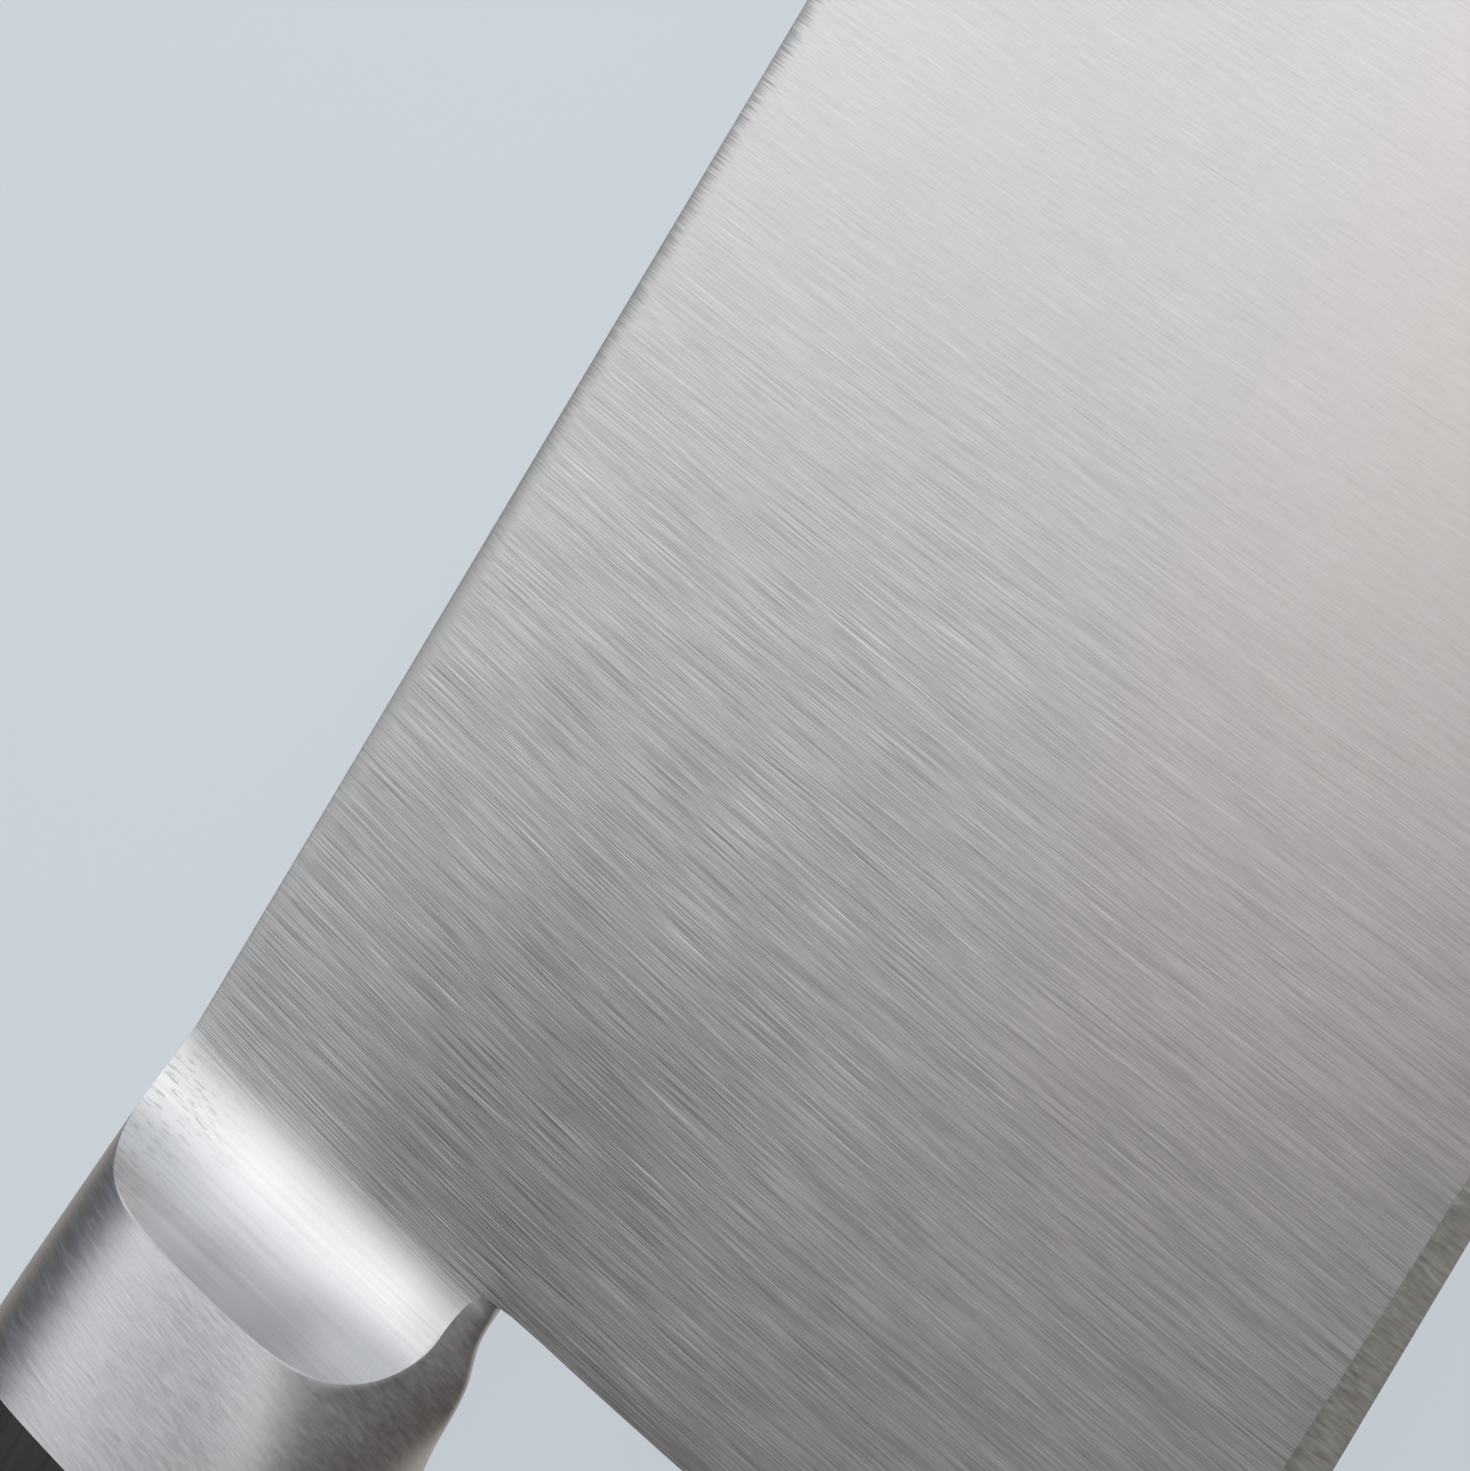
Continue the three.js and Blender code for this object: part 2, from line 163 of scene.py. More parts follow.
class HandleSettings(bpy.types.PropertyGroup):
    """Sizes of the tang, the scales and the rivets"""
    thickness: length("Thickness", "Across the flats of the scales", 2 * (scale_high.z - middle_z))
    thickening_run: length("Thickening run", "From the bolster to full thickness", 30 * MM)
    swell_power: number("Swell power", "How early the sides thicken behind the weld", 2.6)
    tang_thickness: length("Tang thickness", "Thickness of the tang", tang_high.z - tang_low.z)
    back_rise: length("Back rise", "Highest point of the back over the spine", 1.5 * MM)
    swell_rise: length("Swell rise", "Back over the spine at the swell", 0.6 * MM)
    butt_top_drop: length("Butt drop", "Back under the spine at the butt", 6 * MM)
    grip_depth: length("Grip depth", "Spine to the underside at the swell", 21.3 * MM)
    waist_margin: length("Waist margin", "Waist to butt", 27 * MM)
    waist_depth: length("Waist depth", "Spine to the underside at the waist", 20.6 * MM)
    butt_depth: length("Butt depth", "Spine to the underside at the butt", 25.5 * MM)
    butt_radius: length("Butt radius", "Rounding of the butt's corners", 6 * MM)
    butt_easing: share("Butt easing", "Share of that rounding taken off the sides", 0.5)
    butt_corner: length("Butt corner", "Rounding where the scales end", 0.9 * MM)
    flat_arc: angle("Flat arc", "Part of the section's oval that each side cuts off", 44)
    flat_power: number("Flat power", "How sharply the sides turn into the oval", 9)
    rivet_front_margin: length("Front margin", "Bolster to the front rivet", 19.5 * MM)
    rivet_rear_margin: length("Rear margin", "Rear rivet to butt", 27 * MM)
    rivet_head: length("Rivet head", "Diameter of the rivet heads", 8 * MM)
    rivet_head_thickness: length("Head thickness", "Thickness of the rivet heads", 1.8 * MM)
    sleeve: length("Sleeve", "Diameter of the rivet sleeve", 4.8 * MM)
    pin: length("Pin", "Diameter of the rivet pin", 3 * MM)
    sleeve_floor: length("Sleeve floor", "Solid metal under the sleeve's head", 2 * MM)
    clearance: length("Clearance", "Rivet to scale and pin to sleeve", 0.05 * MM)
    tang_clearance: length("Tang clearance", "Sleeve to tang", 0.2 * MM)
    end_gap: length("End gap", "Ends of pin and sleeve to what faces them", 0.3 * MM)


class FinishSettings(bpy.types.PropertyGroup):
    """Colours and roughness of the finishes"""
    flank: colour("Flank", "Ground steel of the blade's faces under the spine", (0.602, 0.602, 0.610))
    flank_low: colour("Low flank", "Ground steel of the blade's faces over the edge", (0.625, 0.596, 0.582))
    scoop: colour("Scoop", "Ground steel of the scoops", (0.685, 0.685, 0.692))
    bolster: colour("Bolster", "Satin steel of the bolster", (0.762, 0.768, 0.788))
    bevel: colour("Edge bevel", "Ground steel of the edge bevels", (0.515, 0.495, 0.45))
    tang: colour("Tang", "Steel of the tang's edge", (0.56, 0.555, 0.545))
    rivet: colour("Rivet", "Steel of the rivet heads", (0.66, 0.655, 0.645))
    scale: colour("Scales", "Black laminated wood", (0.0245, 0.0275, 0.0305))
    scale_grain: colour("Grain", "Paler grain of the wood", (0.036, 0.039, 0.043))
    flank_roughness: share("Flank roughness", "Roughness of the blade's faces", 0.35)
    scoop_roughness: share("Scoop roughness", "Roughness of the scoops", 0.36)
    scoop_lead: length("Scoop lead", "Height of the soft start of the scoop's grinding", 0.45 * MM)
    bolster_roughness: share("Bolster roughness", "Roughness of the bolster's outside", 0.42)
    bevel_roughness: share("Bevel roughness", "Roughness of the edge bevels", 0.46)
    spine_roughness: share("Spine roughness", "Roughness of the spine and the heel", 0.3)
    tang_roughness: share("Tang roughness", "Roughness of the tang's edge", 0.4)
    rivet_roughness: share("Rivet roughness", "Roughness of the rivet heads", 0.34)
    scale_roughness: share("Scale roughness", "Roughness of the scales", 0.42)


class StageSettings(bpy.types.PropertyGroup):
    """Camera, floor and light"""
    aim_along: length("Aim along", "Weld to the aimed point, towards the tip", 21.07 * MM)
    aim_down: length("Aim down", "Spine to the aimed point, towards the edge", 13.35 * MM)
    aim_out: length("Aim out", "Middle plane to the aimed point", 0.945 * MM)
    tilt: angle("Tilt", "Camera's lean from square, towards the edge", 19.5)
    roll: angle("Roll", "Turn of the blade's length from level, in the picture", 59.2)
    width: length("Width", "Width of the picture at the aimed point", 58.8 * MM)
    lens: number("Lens", "Focal length in millimetres", 400)
    clip_start: length("Clip start", "Distance from the camera at which things start to show", 10 * MM)
    floor_reach: length("Floor reach", "Middle of the floor to its sides", 20.0)
    floor: colour("Floor", "Pale floor", (0.650, 0.705, 0.765))
    floor_glow: share("Floor glow", "Share of the floor that shows its colour without shade", 0.76)
    glow_strength: number("Glow strength", "Brightness of that share", 1.03)
    floor_shade: colour("Floor shade", "Floor that lights the knife from below", (0.15, 0.145, 0.14))
    floor_near: colour("Near floor", "Strip of floor that the steel's rims mirror", (0.46, 0.415, 0.37))
    near_drop: length("Near drop", "Spine's line to the middle of that strip", 6.4 * MM)
    near_start: length("Near start", "Middle of that strip to where its colour starts to fade", 14 * MM)
    near_end: length("Near end", "Middle of that strip to where its colour ends", 44 * MM)
    warm_wall: colour("Warm wall", "Room on the edge's side", (0.070, 0.058, 0.048))
    cool_wall: colour("Cool wall", "Room on the spine's side", (0.080, 0.093, 0.110))
    ceiling: colour("Ceiling", "Room over the knife", (0.10, 0.10, 0.105))
    edge_side: colour("Edge side", "Pale band of the room towards the edge", (0.64, 0.64, 0.64))
    spine_side: colour("Spine side", "Pale band of the room towards the spine", (0.18, 0.185, 0.19))
    tip_side: colour("Tip side", "Room in front of the tip", (0.73, 0.76, 0.80))
    butt_side: colour("Butt side", "Room behind the butt", (0.40, 0.40, 0.41))


# Plain helpers

def lerp(a, b, t):
    """Value at share t between a and b."""
    return a + (b - a) * t


def smoothstep(value, low, high):
    """Smooth share of the way from low to high."""
    t = min(1.0, max(0.0, (value - low) / (high - low)))
    return t * t * (3 - 2 * t)


def line_through(points):
    """A smooth line of height over station, with each slope taken from the neighbouring points."""
    def height(station):
        last = len(points) - 2
        i = 0
        while i < last and station > points[i + 1][0]:
            i += 1
        start, end = points[i], points[i + 1]
        before = points[i - 1] if i > 0 else end
        after = points[i + 2] if i < last else start
        half = (end[0] - start[0]) / 2
        pull = half / (start[0] - before[0])
        pull_after = half / (after[0] - end[0])
        t = (station - start[0]) / (end[0] - start[0])
        shares = (
            (before, -pull * t ** 3 + 2 * pull * t ** 2 - pull * t),
            (start, (1 + pull) * t ** 3 - (1.5 + 2 * pull) * t ** 2 + (pull - 0.5) * t + 1),
            (end, -(1 + pull_after) * t ** 3 + (1.5 + pull_after) * t ** 2 + 0.5 * t),
            (after, pull_after * t ** 3 - pull_after * t ** 2),
        )
        return sum(point[1] * weight for point, weight in shares)
    return height


# Lines and sections of the knife, in metres from the weld's top, on the blade's middle plane

class BladeForm:
    """The blade's outline and thickness."""

    def __init__(self, scene):
        blade = scene.gyuto_blade
        self.blade = blade
        self.choil_depth = scene.gyuto_bolster.choil_depth
        self.heel_slope = math.tan(blade.heel_lean)
        self.heel_x = -self.heel_slope * blade.heel_height
        self.tip_x = self.heel_x + blade.length
        fall = (blade.spine_thickness - blade.shoulder_thickness) / 2
        self.face_slope = fall / (blade.heel_height - blade.face_bevel)
        self.origin = Vector((blade_low.x - self.heel_x, spine_y, middle_z))

    def face_half(self, y):
        return self.blade.spine_thickness / 2 + self.face_slope * y

    def roll_inset(self, down):
        """How far a face is rolled in at a depth under the spine."""
        left = max(0.0, math.cos(self.blade.spine_corner) - max(0.0, down / self.blade.spine_roll))
        return self.blade.spine_easing * (1 - math.sqrt(1 - left ** 2))

    def spine_height(self, x):
        straight = self.blade.spine_straight
        run = max(0.0, (x - straight) / (self.tip_x - straight))
        return -self.blade.tip_drop * run ** self.blade.sweep

    def edge_height(self, x):
        start = self.heel_x + self.blade.edge_straight
        run = max(0.0, (x - start) / (self.tip_x - start))
        low = self.blade.heel_height - self.blade.edge_wear
        return -low + (low - self.blade.tip_drop) * run ** self.blade.sweep

    def bevel_width(self, x, side):
        """Width of the edge bevel, which is wider at the heel on the right."""
        if side < 0:
            return self.blade.left_bevel
        past = smoothstep(x, self.heel_x, self.heel_x + self.blade.heel_bevel_run)
        return lerp(self.blade.heel_bevel, self.blade.right_bevel, past)

    def heel_bend(self, y):
        """How far the heel's line curves forward of its lean, under the notch."""
        under = max(0.0, -self.choil_depth - y)
        curved = min(under, self.blade.heel_hollow_run)
        straight = under - curved
        relief = self.blade.heel_relief * smoothstep(under, 0.0, self.blade.heel_relief_run)
        return relief + self.blade.heel_hollow * curved * (curved + 2 * straight)

    def section(self, run, side, easing_steps, face_steps, bevel_steps):
        """Points of one side of a section, from the middle of the spine to the edge."""
        spine = Vector((self.tip_x * run, self.spine_height(self.tip_x * run)))
        edge_x = lerp(self.heel_x, self.tip_x, run)
        edge = Vector((edge_x, self.edge_height(edge_x)))
        height = max((edge - spine).length, TINY)
        taper = lerp(1.0, self.blade.tip_taper, smoothstep(spine.x, self.blade.taper_start, self.tip_x))
        narrow = min(1.0, height / self.blade.narrowing_height)
        easing = self.blade.spine_easing * narrow * taper
        roll = self.blade.spine_roll * narrow
        corner = self.blade.spine_corner
        rolled = roll * math.cos(corner)
        bevel = self.bevel_width(edge_x, side) * narrow
        bent = 1 - smoothstep(run, 0.0, self.blade.heel_bend_reach)

        def place(down, inset, kept=1.0):
            at = spine.lerp(edge, down / height)
            x = at.x + self.heel_bend(at.y) * bent
            return Vector((x, at.y, side * kept * (self.face_half(at.y) * taper - inset)))

        points = [place(0.0, 0.0, 0.0)]
        for i in range(easing_steps + 1):
            turn = lerp(corner, math.pi / 2, i / easing_steps)
            points.append(place(rolled - roll * math.cos(turn), easing * (1 - math.sin(turn))))
        shoulder = height - bevel
        for i in range(1, face_steps + 1):
            turn = i / face_steps * math.pi
            points.append(place(lerp(rolled, shoulder, (1 - math.cos(turn)) / 2), 0.0))
        half = points[-1].z
        for i in range(1, bevel_steps + 1):
            at = place(lerp(shoulder, height, i / bevel_steps), 0.0)
            points.append(Vector((at.x, at.y, half * (1 - i / bevel_steps))))
        return points


class HandleForm:
    """Sections of the bolster and the handle. A station is a distance behind the weld along the spine."""

    def __init__(self, scene):
        bolster = scene.gyuto_bolster
        handle = scene.gyuto_handle
        self.blade_form = BladeForm(scene)
        self.bolster = bolster
        self.handle = handle
        self.origin = self.blade_form.origin
        self.spine_strip = scene.gyuto_blade.spine_thickness
        self.joint_slope = math.tan(bolster.joint_lean)
        self.length = self.origin.x - tang_low.x
        scales = self.length - bolster.length
        self.back_line = line_through((
            (0.0, 0.0),
            (bolster.length, bolster.rise),
            (bolster.length + scales / 4, handle.back_rise),
            (bolster.length + scales / 2, handle.swell_rise),
            (self.length, -handle.butt_top_drop),
        ))
        self.under_line = line_through((
            (0.0, -bolster.choil_depth),
            (bolster.choil_run, -bolster.choil_depth),
            (bolster.shoulder_run, -bolster.shoulder_depth),
            (bolster.knee_run, -bolster.knee_depth),
            (bolster.length, -bolster.depth),
            (bolster.length + scales / 2, -handle.grip_depth),
            (self.length - handle.waist_margin, -handle.waist_depth),
            (self.length, -handle.butt_depth),
        ))
        self.flat_turn = math.pi / 2 - handle.flat_arc / 2

    def lean_at(self, station):
        if station < self.bolster.length:
            return lerp(self.blade_form.heel_slope, self.joint_slope, station / self.bolster.length)
        return self.joint_slope * (self.length - station) / (self.length - self.bolster.length)

    def profile_at(self, station):
        """Top, bottom and half thickness of the section at a station."""
        handle = self.handle
        into_butt = max(0.0, station - self.length + handle.butt_radius)
        rounding = handle.butt_radius - math.sqrt(max(0.0, handle.butt_radius ** 2 - into_butt ** 2))
        thickening = min(1.0, station / (self.bolster.length + handle.thickening_run))
        swell = 1 - (1 - thickening) ** handle.swell_power
        half = lerp(self.bolster.thickness, handle.thickness, swell) / 2 - handle.butt_easing * rounding
        return self.back_line(station) - rounding, self.under_line(station) + rounding, half

    def fullness(self, out):
        """Share of the half thickness kept where the oval stands out by a given share of its flat."""
        power = self.handle.flat_power
        crest = 1 / math.sin(self.flat_turn)
        out = max(out, TOUCHING)
        return ((out ** -power + 1) / (crest ** -power + 1)) ** (-1 / power)

    def half_at(self, station, turn):
        """Height over the middle plane, at a turn round the section from its back to its underside."""
        bolster = self.bolster
        tang_half = self.handle.tang_thickness / 2
        top, bottom, half = self.profile_at(station)
        behind = min(1.0, station / bolster.length)
        out = self.fullness(math.sin(turn) / math.sin(self.flat_turn))
        if turn < math.pi / 2:
            weld_strip = self.spine_strip / 2 - self.blade_form.roll_inset(0.0)
            return lerp(lerp(weld_strip, tang_half, behind), half, out)
        # The underside is leaner near the notch, with a rounded keel in place of the tang's strip
        strip = tang_half * smoothstep(behind, bolster.strip_start, 1.0)
        lean = lerp(bolster.choil_leanness, 1.0, smoothstep(behind, 0.0, bolster.lean_end))
        keel = 1 - smoothstep(behind, bolster.keel_start, bolster.keel_end)
        kept = out ** (1 + keel) * lerp(lean, 1.0, min(1.0, out) ** bolster.crest_power)
        past_notch = smoothstep(station, 0.0, bolster.choil_flare)
        rounding = lerp(bolster.choil_rounding, bolster.keel_rounding, past_notch) * keel
        low = (top - bottom) / 2 * (1 + math.cos(turn))
        rounded = math.sqrt(2 * rounding * low * max(0.0, 1 - out))
        return math.hypot(lerp(strip, half, kept), rounded)

    def section_point(self, station, round_share):
        """Point of the right half of a section: 0 is the back's strip, 1 the underside's strip."""
        top, bottom, _ = self.profile_at(station)
        turn = math.pi * round_share
        y = (top + bottom) / 2 + (top - bottom) / 2 * math.cos(turn)
        return Vector((self.lean_at(station) * y - station, y, self.half_at(station, turn)))

    def outside_at(self, x, y):
        """Height of the handle's right side over the middle plane."""
        station = -x
        rounds = 6
        for _ in range(rounds):
            station = self.lean_at(station) * y - x
        top, bottom, _ = self.profile_at(station)
        sideways = (y - (top + bottom) / 2) / ((top - bottom) / 2)
        return self.half_at(station, math.acos(min(1.0, max(-1.0, sideways))))

    def scoop_height(self, point):
        """Height of the ground scoop's surface at a point's place, or None past the scoop."""
        behind = max(0.0, self.blade_form.heel_slope * point.y - point.x)
        radius = self.bolster.scoop_radius
        if behind >= radius:
            return None
        kept_roll = 1 - smoothstep(behind, 0.0, self.bolster.scoop_blend)
        weld = self.blade_form.face_half(point.y) - self.blade_form.roll_inset(-point.y) * kept_roll
        return weld + radius - math.sqrt(radius ** 2 - behind ** 2)

    def rivet_places(self):
        """Middle of each rivet and half the handle's thickness there, front to rear."""
        handle = self.handle
        first = self.bolster.length + handle.rivet_front_margin
        last = self.length - handle.rivet_rear_margin
        for i, name in enumerate(RIVET_NAMES):
            station = lerp(first, last, i / (len(RIVET_NAMES) - 1))
            top, bottom, half = self.profile_at(station)
            y = (top + bottom) / 2
            yield name, Vector((self.lean_at(station) * y - station, y, 0.0)), half


# Mesh tools

def add_sheet(mesh, columns, rows, place, finish=None):
    """Adds a grid of quads with its corners at place(u, v). finish(u, v) numbers a face's material."""
    corners = bmesh.ops.create_grid(mesh, x_segments=columns, y_segments=rows, size=0.5)["verts"]
    if finish:
        for face in {face for corner in corners for face in corner.link_faces}:
            centre = face.calc_center_median()
            face.material_index = finish(centre.x + 0.5, centre.y + 0.5)
    for corner in corners:
        corner.co = place(corner.co.x + 0.5, corner.co.y + 0.5)


def close_mesh(mesh):
    """Merges the sheets' shared corners and turns every face outwards."""
    bmesh.ops.remove_doubles(mesh, verts=mesh.verts, dist=MERGE_GAP)
    bmesh.ops.dissolve_degenerate(mesh, edges=mesh.edges, dist=MERGE_GAP)
    bmesh.ops.recalc_face_normals(mesh, faces=mesh.faces)


def lay_grain(mesh, middle_y=None):
    """A UV map with U along the knife. V runs down the face, or round the section if a middle is given."""
    layer = mesh.loops.layers.uv.new(GRAIN_MAP)
    for face in mesh.faces:
        side = 1 if face.calc_center_median().z >= 0 else -1
        for loop in face.loops:
            at = loop.vert.co
            down = at.y
            if middle_y is not None:
                down = side * math.atan2(abs(at.z), at.y - middle_y) * GRAIN_RADIUS
            loop[layer].uv = (at.x / MM, down / MM)


def finish_piece(mesh, name, origin, materials, sharp_angle=30):
    """Turns a bmesh made about the weld into an object of the frame, smooth but for its sharp edges."""
    bmesh.ops.translate(mesh, verts=mesh.verts, vec=origin)
    data = bpy.data.meshes.new(name)
    for face in mesh.faces:
        face.smooth = True
    mesh.to_mesh(data)
    mesh.free()
    data.set_sharp_from_angle(angle=math.radians(sharp_angle))
    for material in materials:
        data.materials.append(material)
    piece = bpy.data.objects.new(name, data)
    bpy.context.scene.collection.objects.link(piece)
    return piece


def place_piece(piece, slot, *nodes):
    """Rides the piece on the knife in place of its CAD nodes."""
    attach(piece, "root")
    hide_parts(*nodes)


def cut_holes(piece, places, origin, radius, depth):
    """Cuts a round hole through the piece at each place, across the handle."""
    cutter_mesh = bmesh.new()
    for place in places:
        bmesh.ops.create_cone(
            cutter_mesh, cap_ends=True, segments=ROUND_STEPS, radius1=radius, radius2=radius, depth=depth,
            matrix=Matrix.Translation(origin + place))
    data = bpy.data.meshes.new("rivet_drill")
    cutter_mesh.to_mesh(data)
    cutter_mesh.free()
    cutter = bpy.data.objects.new("rivet_drill", data)
    bpy.context.scene.collection.objects.link(cutter)
    cut = piece.modifiers.new("rivet_holes", "BOOLEAN")
    cut.operation = "DIFFERENCE"
    cut.solver = "EXACT"
    cut.object = cutter
    graph = bpy.context.evaluated_depsgraph_get()
    drilled = bpy.data.meshes.new_from_object(piece.evaluated_get(graph), depsgraph=graph)
    piece.modifiers.clear()
    whole = piece.data
    piece.data = drilled
    bpy.data.meshes.remove(whole)
    bpy.data.objects.remove(cutter)
    bpy.data.meshes.remove(data)


# Material tools

class Wiring:
    """Short names for the steps that fill a node tree. Each takes sockets or values and gives a socket."""

    def __init__(self, tree):
        self.tree = tree

    def fill(self, socket, value):
        """Links a socket to another node's output, or sets its value."""
        if isinstance(value, bpy.types.NodeSocket):
            self.tree.links.new(value, socket)
        else:
            socket.default_value = value

    def add(self, kind, inputs=None, **settings):
        """Adds a node, sets it and fills its inputs."""
        node = self.tree.nodes.new(kind)
        for name, value in settings.items():
            setattr(node, name, value)
        for name, value in (inputs or {}).items():
            self.fill(node.inputs[name], value)
        return node

    def maths(self, operation, first, *others):
        """Takes the first number through the same step of arithmetic with each of the others."""
        for other in others:
            first = self.add("ShaderNodeMath", {0: first, 1: other}, operation=operation).outputs[0]
        return first

    def plus(self, first, *others):
        return self.maths("ADD", first, *others)

    def minus(self, first, *others):
        return self.maths("SUBTRACT", first, *others)

    def times(self, first, *others):
        return self.maths("MULTIPLY", first, *others)

    def distance(self, first, second):
        """How far two numbers are apart."""
        inputs = {0: self.minus(first, second)}
        return self.add("ShaderNodeMath", inputs, operation="ABSOLUTE").outputs[0]

    def swing(self, mask, amount):
        """A mask from 0 to 1 as a swing about zero, with a given width."""
        return self.times(self.minus(mask, 0.5), amount)

    def vary(self, centre, *swings):
        """A number that swings about its centre with each mask times its amount."""
        for mask, amount in swings:
            centre = self.plus(self.swing(mask, amount), centre)
        return centre

    def spread(self, value, span, to=(0.0, 1.0), kind="SMOOTHSTEP"):
        """Takes a value from one span to another, and holds it at the ends."""
        inputs = {"Value": value, "From Min": span[0], "From Max": span[1], "To Min": to[0], "To Max": to[1]}
        return self.add("ShaderNodeMapRange", inputs, interpolation_type=kind).outputs["Result"]

    def between(self, value, rise, fall):
        """A mask that rises over one span of a value and falls over another."""
        return self.times(self.spread(value, rise), self.spread(value, fall))

    def blend(self, share_taken, first, second):
        """Mixes two colours."""
        return self.add("ShaderNodeMix", {0: share_taken, 6: first, 7: second}, data_type="RGBA").outputs[2]

    def blend_numbers(self, share_taken, first, second):
        """Mixes two numbers."""
        return self.add("ShaderNodeMix", {0: share_taken, 2: first, 3: second}, data_type="FLOAT").outputs[0]

    def tint(self, colour_given, shade):
        """A colour times a shade."""
        inputs = {0: colour_given, "Scale": shade}
        return self.add("ShaderNodeVectorMath", inputs, operation="SCALE").outputs[0]

    def point(self, x, y, z):
        """A place from its three parts."""
        return self.add("ShaderNodeCombineXYZ", {0: x, 1: y, 2: z}).outputs[0]

    def parts(self, place):
        """The three parts of a place."""
        return self.add("ShaderNodeSeparateXYZ", {0: place}).outputs[:]

    def noise(self, place, scale, detail, roughness=0.5):
        """Soft noise from 0 to 1."""
        inputs = {"Vector": place, "Scale": scale, "Detail": detail, "Roughness": roughness}
        return self.add("ShaderNodeTexNoise", inputs).outputs["Fac"]

    def streaks(self, place, spacing):
        """Ground lines and scratches, spaced in lines per millimetre across and along."""
        inputs = {"Place": place, "Across": spacing[0], "Along": spacing[1]}
        node = self.add("ShaderNodeGroup", inputs, node_tree=streaks_group())
        return node.outputs["Lines"], node.outputs["Scratches"]


def rgba(value):
    """A colour setting with full alpha."""
    return (*value, 1.0)


def streaks_group():
    """Ground hairlines: long thin noise, with a few deeper scratches. Place is across, along and seed."""
    name = "Ground streaks"
    if name in bpy.data.node_groups:
        return bpy.data.node_groups[name]
    tree = bpy.data.node_groups.new(name, "ShaderNodeTree")
    for title, kind in (("Place", "Vector"), ("Across", "Float"), ("Along", "Float")):
        tree.interface.new_socket(name=title, in_out="INPUT", socket_type=f"NodeSocket{kind}")
    for title in ("Lines", "Scratches"):
        tree.interface.new_socket(name=title, in_out="OUTPUT", socket_type="NodeSocketFloat")
    given = tree.nodes.new("NodeGroupInput").outputs
    made = tree.nodes.new("NodeGroupOutput").inputs
    wiring = Wiring(tree)
    place_across, place_along, seed = wiring.parts(given["Place"])
    across = wiring.times(place_across, given["Across"])
    along = wiring.times(place_along, given["Along"])
    grit = 0.6

    def lines(finer_across, finer_along, shift, detail):
        place = wiring.point(
            wiring.times(across, finer_across), wiring.times(along, finer_along), wiring.plus(seed, shift))
        return wiring.noise(place, scale=1.0, detail=detail, roughness=grit)

    main_lines = lines(finer_across=1.0, finer_along=1.0, shift=0.0, detail=1.0)
    fine_lines = lines(finer_across=1.7, finer_along=1.6, shift=5.3, detail=1.0)
    deep_lines = lines(finer_across=0.55, finer_along=0.8, shift=11.7, detail=0.0)
    main_share, fine_share = 0.55, 0.45
    line_span, scratch_span = (0.35, 0.65), (0.72, 0.84)
    both = wiring.plus(wiring.times(main_lines, main_share), wiring.times(fine_lines, fine_share))
    wiring.fill(made["Lines"], wiring.spread(both, line_span, kind="LINEAR"))
    wiring.fill(made["Scratches"], wiring.spread(deep_lines, scratch_span))
    return tree


class Surface(Wiring):
    """A new material with its shader, and its place on the knife in millimetres from the weld."""

    def __init__(self, name, scene):
        self.material = bpy.data.materials.new(name)
        self.material.use_nodes = True
        super().__init__(self.material.node_tree)
        self.shader = self.tree.nodes["Principled BSDF"]
        self.place = self.add("ShaderNodeMapping", {
            "Vector": self.add("ShaderNodeTexCoord").outputs["Object"],
            "Location": tuple(-part / MM for part in BladeForm(scene).origin),
            "Scale": (1 / MM, 1 / MM, 1 / MM)}).outputs[0]
        self.x, self.y, self.z = self.parts(self.place)

    def give(self, name, value):
        """Sets or links one of the shader's inputs."""
        self.fill(self.shader.inputs[name], value)

    def brush(self, anisotropy):
        """Makes the shader a metal whose gloss stretches along the knife."""
        self.give("Metallic", 1.0)
        self.give("Anisotropic", anisotropy)
        tangent = self.add("ShaderNodeTangent", direction_type="UV_MAP", uv_map=GRAIN_MAP)
        self.give("Tangent", tangent.outputs[0])

    def raise_by(self, height, depth):
        """Raises the surface by height times depth, in metres."""
        bumped = self.add("ShaderNodeBump", {"Height": height, "Distance": depth, "Strength": 1.0})
        self.give("Normal", bumped.outputs[0])


# Materials

